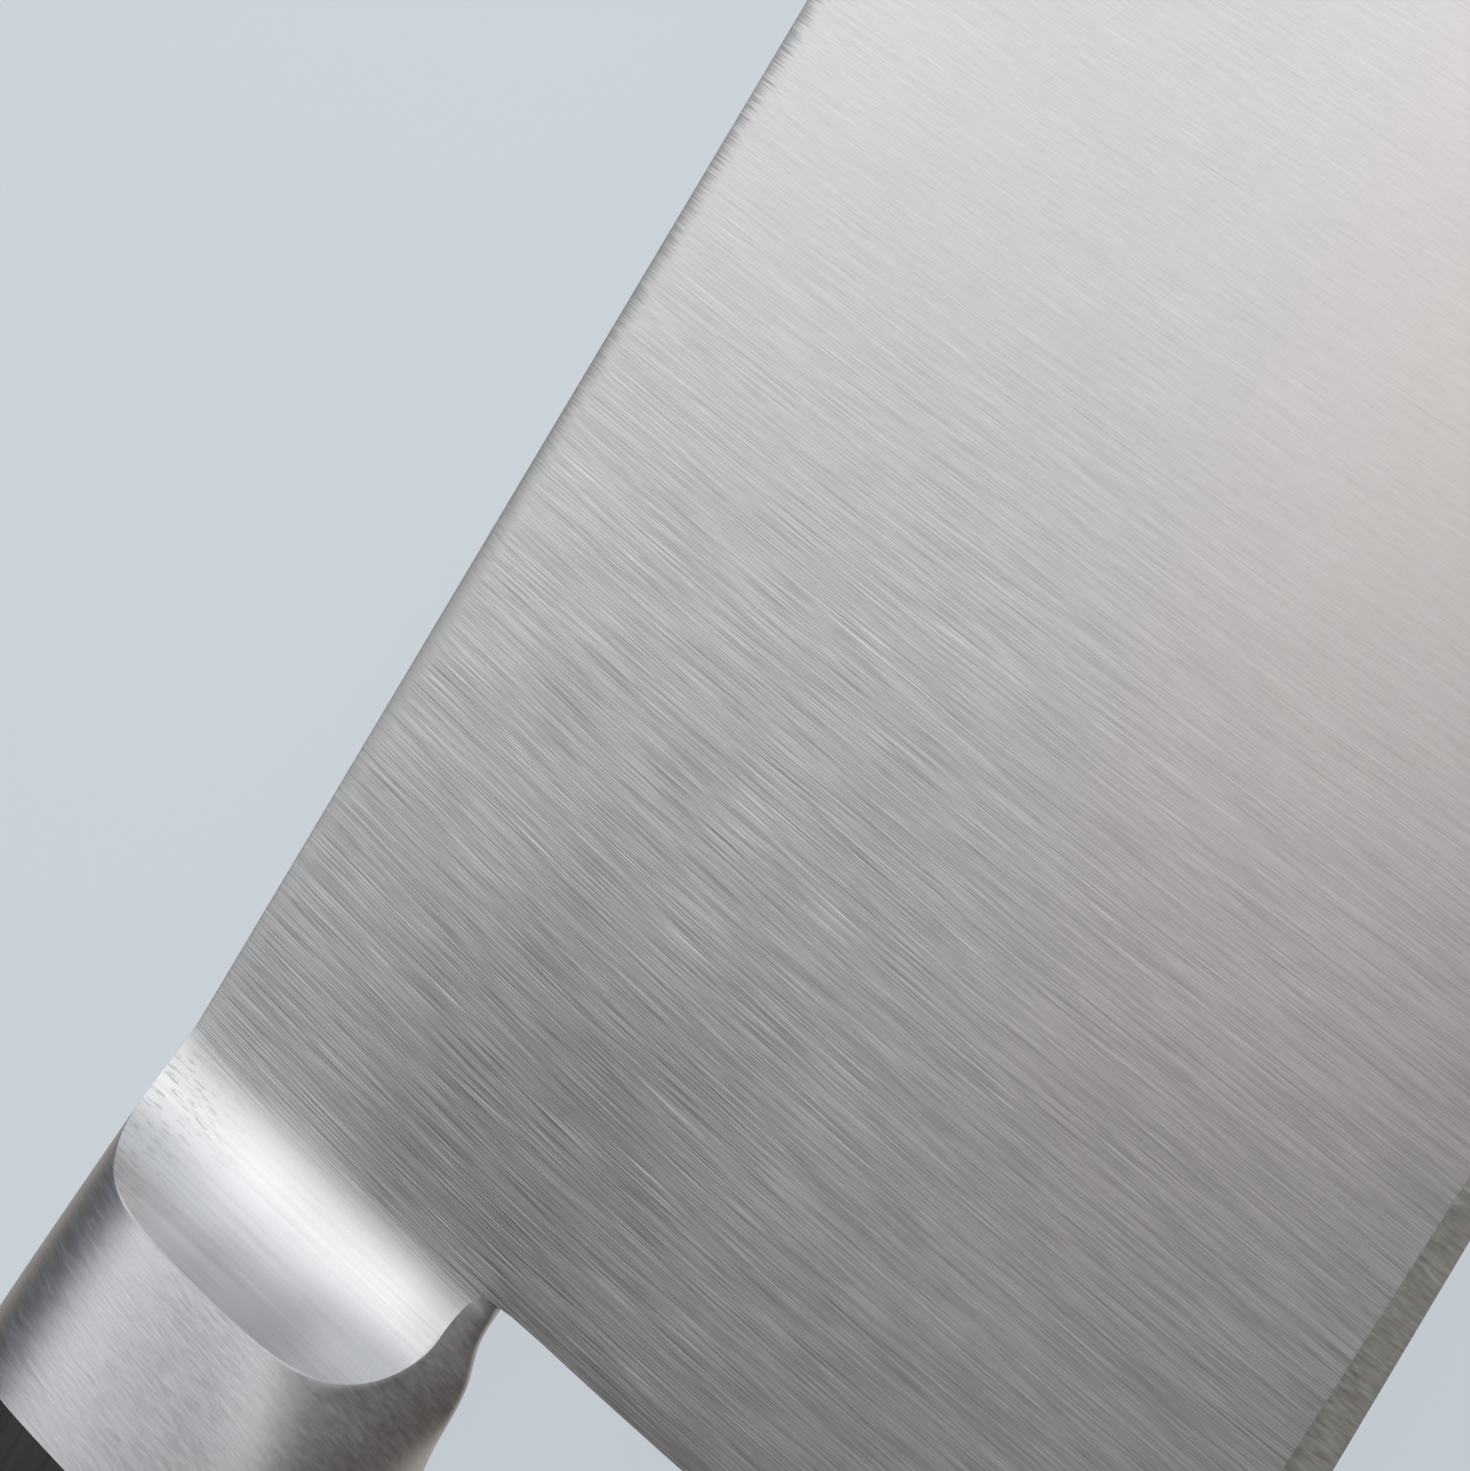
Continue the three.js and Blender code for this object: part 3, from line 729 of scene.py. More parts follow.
class FlankSteel(Surface):
    """Ground steel of the blade's faces and the scoops. Ranges are in millimetres from the weld's top."""
    anisotropy = 0.72
    relief_depth = 0.003 * MM
    # Hairlines: their spacing across and along, their lean, and how coarse they are
    hair_spacing = (17.0, 0.22)
    short_hair_spacing = (14.0, 1.0)
    glint_spacing = (24.0, 0.35)
    lean = 0.25
    lean_curve = 0.0013
    lean_fade = (-5.0, 70.0)
    lean_at_tip = 0.12
    wander_scale = 0.04
    wander_width = 0.5
    coarse_along = (18.0, 46.0)
    coarse_at_tip = 0.28
    coarse_down = (-16.0, -34.0)
    coarse_at_edge = 0.62
    coarse_heel = (2.0, 22.0)
    coarse_at_heel = 1.15
    # Shades of the faces
    line_shade = 0.62
    short_hair_shade = 0.08
    scratch_shade = 0.06
    glint_shade = 0.33
    tone_down = (-8.0, -34.0)
    # Painted shade on the faces over the notch
    notch_top = (-5.0, -11.0)
    notch_low = (-25.0, -17.0)
    notch_along = (15.0, 5.0)
    notch_painted_shade = 0.17
    # Painted shade on the rolled spine from the heel to the tip, its lower border ragged with the ends of the
    # hairlines
    ragged_reach = 0.8
    spine_shade_down = (-0.75, 0.02)
    spine_shade_along = (4.0, 28.0)
    spine_painted_shades = (0.16, 0.54)
    # Scoop: where it starts behind the weld, and its streaks
    scoop_start = (-0.5, 1.6)
    scoop_seed = 40.0
    polish_spacing = (5.0, 0.10)
    polish_shade = 0.16
    grit_shade = -0.04
    # Painted shade at the scoop's ends, at the spine and at the notch, dimming its highlight
    spine_end_down = (-7.0, -1.5)
    spine_end_behind = (5.0, 3.0)
    spine_end_painted_shade = 0.14
    notch_end_down = (-13.0, -15.8)
    notch_end_behind = (4.5, 2.0)
    notch_end_painted_shade = 0.2
    # Painted light and shade on the scoop's rear: paler at its ends and darker in its middle
    middle_top = (-3.5, -8.0)
    middle_low = (-14.0, -10.0)
    rear_painted_shades = (0.14, -0.15)
    rear_behind = (3.5, 6.0)
    # Short grinder marks at the scoop's end under the spine
    mark_spacing = (7.0, 1.0)
    mark_span = (0.6, 0.9)
    mark_down = (-6.0, -0.8)
    mark_colour = (0.40, 0.40, 0.40)
    mark_stain = 0.25
    mark_roughness = 0.1
    mark_relief = 0.18
    # Roughness and relief
    cloud_scale = 0.05
    hair_roughness = 0.05
    face_cloud = 0.06
    polish_roughness = 0.12
    scoop_cloud = 0.04
    scratch_relief = 0.8
    polish_relief = 0.12
    # Soft start of the scoop's grinding, a little before the weld and above the notch
    lead_behind = (-1.6, 5.5)
    lead_down = (-17.2, -15.6)

    def __init__(self, scene):
        super().__init__("flank_steel", scene)
        self.finish = scene.gyuto_finish
        self.brush(self.anisotropy)
        self.behind = self.minus(self.times(self.y, BladeForm(scene).heel_slope), self.x)
        self.in_scoop = self.spread(self.behind, self.scoop_start)
        self.out_of_scoop = self.minus(1.0, self.in_scoop)
        self.lay_hairlines()
        self.lay_scoop_streaks()
        self.give("Base Color", self.colour())
        self.give("Roughness", self.roughness())
        self.raise_by(self.relief(), self.relief_depth)

    def lay_hairlines(self):
        """Hairlines that lean with the heel, less so towards the tip and the edge."""
        slope = self.plus(self.times(self.y, self.lean_curve), self.lean)
        kept = self.spread(self.x, self.lean_fade, (1.0, self.lean_at_tip))
        wander = self.times(self.noise(self.place, self.wander_scale, detail=0.0), self.wander_width)
        across = self.plus(self.minus(self.x, self.times(self.y, slope, kept)), wander)
        place = self.point(across, self.y, self.z)
        self.hair, self.scratches = self.streaks(place, self.hair_spacing)
        _, self.glints = self.streaks(place, self.glint_spacing)
        self.short_hair, _ = self.streaks(place, self.short_hair_spacing)
        self.coarse = self.times(
            self.spread(self.x, self.coarse_along, (1.0, self.coarse_at_tip)),
            self.spread(self.y, self.coarse_down, (1.0, self.coarse_at_edge)),
            self.spread(self.x, self.coarse_heel, (self.coarse_at_heel, 1.0)))

    def lay_scoop_streaks(self):
        """Finer streaks along the scoop, and short grinder marks at its end under the spine."""
        place = self.point(self.behind, self.y, self.scoop_seed)
        self.polish, self.grit = self.streaks(place, self.polish_spacing)
        chatter, _ = self.streaks(place, self.mark_spacing)
        self.marks = self.times(
            self.spread(chatter, self.mark_span), self.in_scoop, self.spread(self.y, self.mark_down))

    def face_shade(self):
        """Hairlines of the faces, with painted shade over the notch and at the spine."""
        lines = self.times(self.swing(self.hair, self.line_shade), self.coarse)
        shade = self.vary(self.plus(lines, 1.0), (self.short_hair, self.short_hair_shade))
        shade = self.minus(shade, self.times(self.scratches, self.scratch_shade))
        shade = self.plus(shade, self.times(self.glints, self.coarse, self.glint_shade))
        # Painted shade over the notch
        painted_shade_over_notch = self.times(
            self.between(self.y, self.notch_top, self.notch_low),
            self.spread(self.x, self.notch_along, (0.0, self.notch_painted_shade)))
        # Painted shade on the rolled spine, with a ragged border from the hairlines
        ragged = self.plus(self.y, self.swing(self.hair, self.ragged_reach))
        painted_spine_shade = self.times(
            self.spread(ragged, self.spine_shade_down),
            self.spread(self.x, self.spine_shade_along, self.spine_painted_shades))
        return self.times(shade, self.minus(1.0, painted_shade_over_notch), self.minus(1.0, painted_spine_shade))

    def scoop_shade(self):
        """Streaks of the scoop, with painted shade at its ends and painted light and shade on its rear."""
        shade = self.vary(1.0, (self.polish, self.polish_shade), (self.grit, self.grit_shade))
        # Painted shade at the scoop's end under the spine
        spine_end_shade = self.times(
            self.spread(self.y, self.spine_end_down, (0.0, self.spine_end_painted_shade)),
            self.spread(self.behind, self.spine_end_behind))
        # Painted shade at the scoop's end over the notch
        wear_and_shade = self.times(
            self.spread(self.y, self.notch_end_down, (0.0, self.notch_end_painted_shade)),
            self.spread(self.behind, self.notch_end_behind))
        # Painted light and shade on the scoop's rear, paler at its ends and darker in its middle
        middle = self.between(self.y, self.middle_top, self.middle_low)
        rear = self.times(
            self.spread(middle, (0.0, 1.0), self.rear_painted_shades), self.spread(self.behind, self.rear_behind))
        return self.times(shade, self.plus(self.minus(1.0, spine_end_shade, wear_and_shade), rear))

    def colour(self):
        tone = self.blend(
            self.spread(self.y, self.tone_down), rgba(self.finish.flank), rgba(self.finish.flank_low))
        face = self.tint(tone, self.face_shade())
        scoop = self.tint(self.finish.scoop, self.scoop_shade())
        steel = self.blend(self.in_scoop, face, scoop)
        return self.blend(self.times(self.marks, self.mark_stain), steel, rgba(self.mark_colour))

    def roughness(self):
        cloud = self.noise(self.place, self.cloud_scale, detail=2.0)
        face = self.vary(
            self.finish.flank_roughness, (self.hair, self.hair_roughness), (cloud, self.face_cloud))
        scoop = self.vary(
            self.finish.scoop_roughness, (self.polish, self.polish_roughness), (cloud, self.scoop_cloud))
        both = self.blend_numbers(self.in_scoop, face, scoop)
        return self.plus(both, self.times(self.marks, self.mark_roughness))

    def relief(self):
        cut = self.plus(self.hair, self.times(self.scratches, self.scratch_relief))
        face = self.times(cut, self.coarse, self.out_of_scoop)
        scoop = self.times(self.polish, self.polish_relief, self.in_scoop)
        marks = self.times(self.marks, self.mark_relief)
        lead = self.spread(self.behind, self.lead_behind, (0.0, self.finish.scoop_lead / self.relief_depth))
        return self.plus(face, scoop, marks, self.times(lead, self.spread(self.y, self.lead_down)))


class BevelSteel(Surface):
    """Edge bevels: short coarse scratches across the edge, left by the stone."""
    anisotropy = 0.3
    relief_depth = 0.003 * MM
    stone_lean = 0.12
    stone_seed = 9.0
    stone_spacing = (5.0, 0.8)
    stone_shade = 0.34
    stone_roughness = 0.15
    gouge_shade = 0.3
    blotch_scale = 0.9
    blotch_shade = 0.3
    blotch_roughness = 0.1

    def __init__(self, scene):
        super().__init__("bevel_steel", scene)
        finish = scene.gyuto_finish
        self.brush(self.anisotropy)
        across = self.minus(self.x, self.times(self.y, self.stone_lean))
        stone, gouges = self.streaks(self.point(across, self.y, self.stone_seed), self.stone_spacing)
        blotch = self.noise(self.place, self.blotch_scale, detail=3.0)
        shade = self.vary(
            1.0, (stone, self.stone_shade), (gouges, self.gouge_shade), (blotch, self.blotch_shade))
        self.give("Base Color", self.tint(finish.bevel, shade))
        self.give("Roughness", self.vary(
            finish.bevel_roughness, (stone, self.stone_roughness), (blotch, self.blotch_roughness)))
        self.raise_by(self.plus(stone, gouges), self.relief_depth)


class SatinSteel(Surface):
    """Satin steel with short fine streaks, across the knife or along it."""
    relief_depth = 0.003 * MM
    streak_lean = 0.3
    section_turn = 0.6
    streak_shade = 0.12
    streak_roughness = 0.08
    scratch_shade = -0.06
    speckle_scale = 6.0
    speckle_shade = 0.08
    speckle_relief = 0.5
    cloud_scale = 0.18
    cloud_roughness = 0.08

    def __init__(self, scene, name, steel, roughness, spacing, lengthwise=True, anisotropy=0.3):
        super().__init__(name, scene)
        self.brush(anisotropy)
        slanted = self.minus(self.x, self.times(self.y, self.streak_lean))
        round_section = self.plus(self.y, self.times(self.z, self.section_turn))
        across, along = (round_section, self.x) if lengthwise else (slanted, round_section)
        streaks, scratches = self.streaks(self.point(across, along, self.z), spacing)
        speckle = self.noise(self.place, self.speckle_scale, detail=2.0)
        cloud = self.noise(self.place, self.cloud_scale, detail=2.0)
        shade = self.vary(
            1.0,
            (streaks, self.streak_shade), (speckle, self.speckle_shade), (scratches, self.scratch_shade))
        self.give("Base Color", self.tint(steel, shade))
        self.give("Roughness", self.vary(
            roughness, (streaks, self.streak_roughness), (cloud, self.cloud_roughness)))
        relief = self.plus(streaks, self.times(speckle, self.speckle_relief), scratches)
        self.raise_by(relief, self.relief_depth)


class ScaleWood(Surface):
    """Black laminated wood: fine grain along the handle, faint layers and a worn satin skin."""
    gloss = 0.42
    relief_depth = 0.008 * MM
    grain_spacing = (3.2, 0.10)
    grain_turn = 0.35
    grain_share = 0.6
    grain_roughness = 0.08
    pore_roughness = 0.1
    layers_through = 2.2
    layers_along = 0.02
    layers_up = 0.05
    layer_share = 0.4
    pale_span = (0.35, 0.75)
    worn_scale = 0.09
    worn_roughness = 0.14

    def __init__(self, scene):
        super().__init__("scale_wood", scene)
        finish = scene.gyuto_finish
        self.give("Specular IOR Level", self.gloss)
        across = self.plus(self.y, self.times(self.z, self.grain_turn))
        grain, pores = self.streaks(self.point(across, self.x, self.z), self.grain_spacing)
        layer_place = self.point(
            self.times(self.z, self.layers_through),
            self.times(self.x, self.layers_along),
            self.times(self.y, self.layers_up))
        layers = self.noise(layer_place, scale=1.0, detail=2.0)
        pale = self.plus(self.times(grain, self.grain_share), self.times(layers, self.layer_share))
        self.give("Base Color", self.blend(
            self.spread(pale, self.pale_span), rgba(finish.scale), rgba(finish.scale_grain)))
        wear_and_shade = self.noise(self.place, self.worn_scale, detail=3.0)
        self.give("Roughness", self.vary(
            finish.scale_roughness,
            (grain, self.grain_roughness), (wear_and_shade, self.worn_roughness), (pores, self.pore_roughness)))
        self.raise_by(self.minus(self.times(grain, self.grain_share), pores), self.relief_depth)


# Pieces

class GYUTO_OT_blade(bpy.types.Operator):
    """Model the ground blade with its rolled spine, hollow heel and edge bevels"""
    bl_idname = "gyuto.blade"
    bl_label = "Blade"

    def execute(self, context):
        scene = context.scene
        form = BladeForm(scene)
        easing_steps, face_steps, bevel_steps, runs, across = 10, 44, 3, 160, 4
        rows = 1 + easing_steps + face_steps + bevel_steps
        flank, spine, bevel = 0, 1, 2

        def steel_at(u, v):
            row = v * rows
            if row < 1:
                return spine
            return flank if row < 1 + easing_steps + face_steps else bevel

        mesh = bmesh.new()
        heels = []
        for side in (1, -1):
            sections = [
                form.section(i / runs, side, easing_steps, face_steps, bevel_steps) for i in range(runs + 1)]
            add_sheet(mesh, runs, rows, lambda u, v: sections[round(u * runs)][round(v * rows)], steel_at)
            heels.append(sections[0])

        def heel(u, v):
            row = round(v * rows)
            return heels[0][row].lerp(heels[1][row], u)

        add_sheet(mesh, across, rows, heel, lambda u, v: spine)
        close_mesh(mesh)
        # Ease the heel's long corners under the notch
        notch = -scene.gyuto_bolster.choil_depth
        corners = []
        for edge in mesh.edges:
            kinds = {face.material_index for face in edge.link_faces}
            low = max(vert.co.y for vert in edge.verts) < notch
            if low and len(edge.link_faces) == 2 and kinds == {flank, spine}:
                corners.append(edge)
        bmesh.ops.bevel(
            mesh, geom=corners, offset=scene.gyuto_blade.heel_easing, offset_type="OFFSET", segments=3,
            profile=0.5, affect="EDGES", material=-1, clamp_overlap=True)
        lay_grain(mesh)
        finish = scene.gyuto_finish
        flank_steel = FlankSteel(scene)
        spine_steel = SatinSteel(
            scene, "spine_steel", finish.flank, finish.spine_roughness, spacing=(4.0, 0.2))
        bevel_steel = BevelSteel(scene)
        materials = (flank_steel.material, spine_steel.material, bevel_steel.material)
        piece = finish_piece(mesh, "ground_blade", form.origin, materials)
        place_piece(piece, "blade_steel", "blade")
        return {"FINISHED"}


class GYUTO_OT_bolster(bpy.types.Operator):
    """Model the bolster, with a scoop ground into each side up to an eased crease"""
    bl_idname = "gyuto.bolster"
    bl_label = "Bolster"

    def execute(self, context):
        scene = context.scene
        form = HandleForm(scene)
        bolster = scene.gyuto_bolster
        scoop_steps, outside_steps, strip_steps = 44, 40, 3
        rays_back, rays_joint, rays_under = 60, 44, 60
        rays = rays_back + rays_joint + rays_under
        width = bolster.length
        tall = bolster.choil_depth / 2
        corner_turn = math.atan2(width, tall)
        scoop, outside = 0, 1
        halvings = 48
        # The crease is sharp up to the first of these turns from its ends, and eased from the second on
        sharp_turn, eased_turn = 0.2, 0.9

        def ray_turn(ray):
            if ray <= rays_back:
                return corner_turn * (ray / rays_back)
            if ray <= rays_back + rays_joint:
                return lerp(corner_turn, math.pi - corner_turn, (ray - rays_back) / rays_joint)
            return lerp(math.pi - corner_turn, math.pi, (ray - rays_back - rays_joint) / rays_under)

        def outside_point(turn, reach):
            """Point of the uncut bolster at a reach from the middle of the weld, 1 being its border."""
            across, down = math.sin(turn), -math.cos(turn)
            border = min(width / max(across, TINY), tall / max(abs(down), TINY))
            station = min(width, border * across * reach)
            round_share = 0.5 + 0.5 * border * down * reach / tall
            return form.section_point(station, min(1.0, max(0.0, round_share)))

        def crease_reach(turn):
            """Reach at which the scoop comes out of the uncut bolster, found by halving."""
            low, high = 0.0, 1.0
            for _ in range(halvings):
                reach = (low + high) / 2
                point = outside_point(turn, reach)
                cut = form.scoop_height(point)
                if cut is not None and cut < point.z:
                    low = reach
                else:
                    high = reach
            return high

        turns = [ray_turn(ray) for ray in range(rays + 1)]
        reaches = [crease_reach(turn) for turn in turns]
        creases = [outside_point(turn, reach) for turn, reach in zip(turns, reaches)]
        weld_top, weld_bottom = creases[0].y, creases[-1].y
        slope = form.blade_form.heel_slope

        def scoop_point(ray, along):
            crease = creases[ray]
            weld_y = lerp(weld_top, weld_bottom, (1 - math.cos(turns[ray])) / 2)
            y = lerp(weld_y, crease.y, along)
            behind = (slope * crease.y - crease.x) * along
            point = Vector((slope * y - behind, y, 0.0))
            point.z = form.scoop_height(point)
            return point

        columns = scoop_steps + 1 + outside_steps

        def flank(u, v):
            column = round(u * columns)
            ray = round(v * rays)
            turn = turns[ray]
            near_end = min(turn, math.pi - turn)
            ease = bolster.crease_easing * smoothstep(near_end, sharp_turn, eased_turn)
            span = max(slope * creases[ray].y - creases[ray].x, TOUCHING)
            if column <= scoop_steps:
                return scoop_point(ray, column / scoop_steps * (1 - min(0.5, ease / span)))
            step = (column - scoop_steps - 1) / outside_steps
            start = min(1.0, reaches[ray] + ease / tall)
            return outside_point(turn, lerp(start, 1.0, step))

        mesh = bmesh.new()
        add_sheet(
            mesh, columns, rays, flank, lambda u, v: scoop if u * columns < scoop_steps else outside)

        def strip(first, last):
            def place(u, v):
                ray = first + round(v * (last - first))
                point = outside_point(turns[ray], 1.0)
                return Vector((point.x, point.y, point.z * (1 - u)))
            add_sheet(mesh, strip_steps, last - first, place, lambda u, v: outside)

        strip(0, rays_back)
        strip(rays - rays_under, rays)
        bmesh.ops.remove_doubles(mesh, verts=mesh.verts, dist=MERGE_GAP)
        bmesh.ops.mirror(
            mesh, geom=mesh.verts[:] + mesh.edges[:] + mesh.faces[:], axis="Z", merge_dist=MERGE_GAP)
        close_mesh(mesh)
        made = bmesh.ops.holes_fill(mesh, edges=[edge for edge in mesh.edges if edge.is_boundary], sides=0)
        for face in made["faces"]:
            face.material_index = outside
        bmesh.ops.recalc_face_normals(mesh, faces=mesh.faces)
        lay_grain(mesh, middle_y=-tall)
        finish = scene.gyuto_finish
        satin = SatinSteel(
            scene, "bolster_steel", finish.bolster, finish.bolster_roughness, spacing=(5.0, 0.85),
            lengthwise=False, anisotropy=0.0)
        materials = (bpy.data.materials["flank_steel"], satin.material)
        piece = finish_piece(mesh, "scooped_bolster", form.origin, materials, sharp_angle=20)
        place_piece(piece, "bolster_steel", "bolster")
        return {"FINISHED"}


def handle_station(form, along):
    """Station of a share of the way from the bolster to the butt, closer together at the rounded butt."""
    straight_share = 0.8
    start = form.length - form.handle.butt_radius
    if along < straight_share:
        return lerp(form.bolster.length, start, along / straight_share)
    turn = (along - straight_share) / (1 - straight_share) * math.pi / 2
    return start + form.handle.butt_radius * math.sin(turn)


class GYUTO_OT_tang(bpy.types.Operator):
    """Model the full tang as a plate with the handle's outline"""
    bl_idname = "gyuto.tang"
    bl_label = "Tang"

    def execute(self, context):
        scene = context.scene
        form = HandleForm(scene)
        handle = scene.gyuto_handle
        stations, rows = 110, 8
        half = handle.tang_thickness / 2

        def plate(u, v):
            station = handle_station(form, u)
            top, bottom, _ = form.profile_at(station)
            y = lerp(top, bottom, v)
            return Vector((form.lean_at(station) * y - station, y, -half))

        mesh = bmesh.new()
        add_sheet(mesh, stations, rows, plate)
        raised = bmesh.ops.extrude_face_region(mesh, geom=mesh.faces[:])["geom"]
        moved = [item for item in raised if isinstance(item, bmesh.types.BMVert)]
        bmesh.ops.translate(mesh, verts=moved, vec=(0, 0, 2 * half))
        close_mesh(mesh)
        lay_grain(mesh)
        finish = scene.gyuto_finish
        steel = SatinSteel(scene, "tang_steel", finish.tang, finish.tang_roughness, spacing=(5.0, 0.3))
        piece = finish_piece(mesh, "tang_plate", form.origin, (steel.material,))
        places = [place for _, place, _ in form.rivet_places()]
        radius = handle.sleeve / 2 + handle.tang_clearance
        cut_holes(piece, places, form.origin, radius, handle.thickness)
        place_piece(piece, "tang_steel", "tang")
        return {"FINISHED"}


class GYUTO_OT_scales(bpy.types.Operator):
    """Model the two black scales, drilled for the rivets"""
    bl_idname = "gyuto.scales"
    bl_label = "Scales"

    def execute(self, context):
        scene = context.scene
        form = HandleForm(scene)
        handle = scene.gyuto_handle
        stations, rounds, inner_rows = 120, 60, 6
        wood = ScaleWood(scene).material
        places = [place for _, place, _ in form.rivet_places()]
        radius = handle.rivet_head / 2 + handle.clearance
        for name, side in (("right", 1), ("left", -1)):
            def outside(u, v):
                point = form.section_point(handle_station(form, u), v)
                return Vector((point.x, point.y, side * point.z))

            def inside(u, v):
                return outside(u, 0.0).lerp(outside(u, 1.0), v)

            mesh = bmesh.new()
            add_sheet(mesh, stations, rounds, outside)
            add_sheet(mesh, stations, inner_rows, inside)
            bmesh.ops.remove_doubles(mesh, verts=mesh.verts, dist=MERGE_GAP)
            bmesh.ops.holes_fill(mesh, edges=[edge for edge in mesh.edges if edge.is_boundary], sides=0)
            close_mesh(mesh)
            # Round the corner where the scale ends at the butt
            end = -form.length
            inner = handle.tang_thickness / 2
            square_on = 0.99
            corner = []
            for edge in mesh.edges:
                at_end = all(abs(vert.co.x - end) < TOUCHING for vert in edge.verts)
                outer = any(abs(vert.co.z) > inner + TOUCHING for vert in edge.verts)
                if at_end and outer and any(abs(face.normal.x) > square_on for face in edge.link_faces):
                    corner.append(edge)
            bmesh.ops.bevel(
                mesh, geom=corner, offset=handle.butt_corner, offset_type="OFFSET", segments=4,
                profile=0.5, affect="EDGES", material=-1, clamp_overlap=True)
            lay_grain(mesh)
            piece = finish_piece(mesh, f"{name}_handle_scale", form.origin, (wood,))
            cut_holes(piece, places, form.origin, radius, 2 * handle.thickness)
            place_piece(piece, "scale_wood", f"{name}_scale")
        return {"FINISHED"}


class GYUTO_OT_rivets(bpy.types.Operator):
    """Turn the two halves of each rivet, with heads ground flush with the scales"""
    bl_idname = "gyuto.rivets"
    bl_label = "Rivets"

    def execute(self, context):
        scene = context.scene
        form = HandleForm(scene)
        handle = scene.gyuto_handle
        head, sleeve, pin = handle.rivet_head / 2, handle.sleeve / 2, handle.pin / 2
        face_rings = 6
        finish = scene.gyuto_finish
        steel = SatinSteel(scene, "rivet_steel", finish.rivet, finish.rivet_roughness, spacing=(4.0, 0.25))
        for name, place, half in form.rivet_places():
            under_head = half - handle.rivet_head_thickness
            bore = pin + handle.clearance
            bore_end = under_head - handle.sleeve_floor
            open_end = handle.end_gap - under_head
            face = [(head * i / face_rings, half) for i in range(face_rings, -1, -1)]
            sleeve_profile = [
                (0.0, bore_end), (bore, bore_end), (bore, open_end), (sleeve, open_end),
                (sleeve, under_head), (head, under_head)] + face
            pin_profile = [
                (0.0, bore_end - handle.end_gap), (pin, bore_end - handle.end_gap),
                (pin, -under_head), (head, -under_head)] + [(radius, -height) for radius, height in face]
            for part, profile, side in (("sleeve", sleeve_profile, 1), ("pin", pin_profile, -1)):
                mesh = bmesh.new()
                corners = [mesh.verts.new((radius, 0.0, height)) for radius, height in profile]
                edges = [mesh.edges.new(pair) for pair in zip(corners, corners[1:])]
                bmesh.ops.spin(
                    mesh, geom=corners + edges, cent=(0, 0, 0), axis=(0, 0, 1), dvec=(0, 0, 0),
                    angle=2 * math.pi, steps=ROUND_STEPS, use_merge=True)
                close_mesh(mesh)
                bmesh.ops.translate(mesh, verts=mesh.verts, vec=place)
                # The head's face follows the handle's side
                for vert in mesh.verts:
                    if abs(vert.co.z - side * half) < TOUCHING:
                        vert.co.z = side * form.outside_at(vert.co.x, vert.co.y)
                lay_grain(mesh)
                piece = finish_piece(mesh, f"{name}_turned_{part}", form.origin, (steel.material,))
                place_piece(piece, "rivet_steel", f"{name}_rivet_{part}")
        return {"FINISHED"}


# Stage, whose room is a world of plain sides. Spans are parts of a unit direction.
WALL_SPAN = (-0.3, 0.3)
CEILING_SPAN = (0.40, 0.95)
EDGE_BAND_RISE = (0.10, -0.20)
EDGE_BAND_FALL = (-0.80, -0.18)
SPINE_BAND_SPAN = (0.45, 0.60)
SPINE_BAND_HEIGHT = (0.42, 0.58)
TIP_SPAN = (0.66, 0.98)
BUTT_SPAN = (-0.25, -0.90)


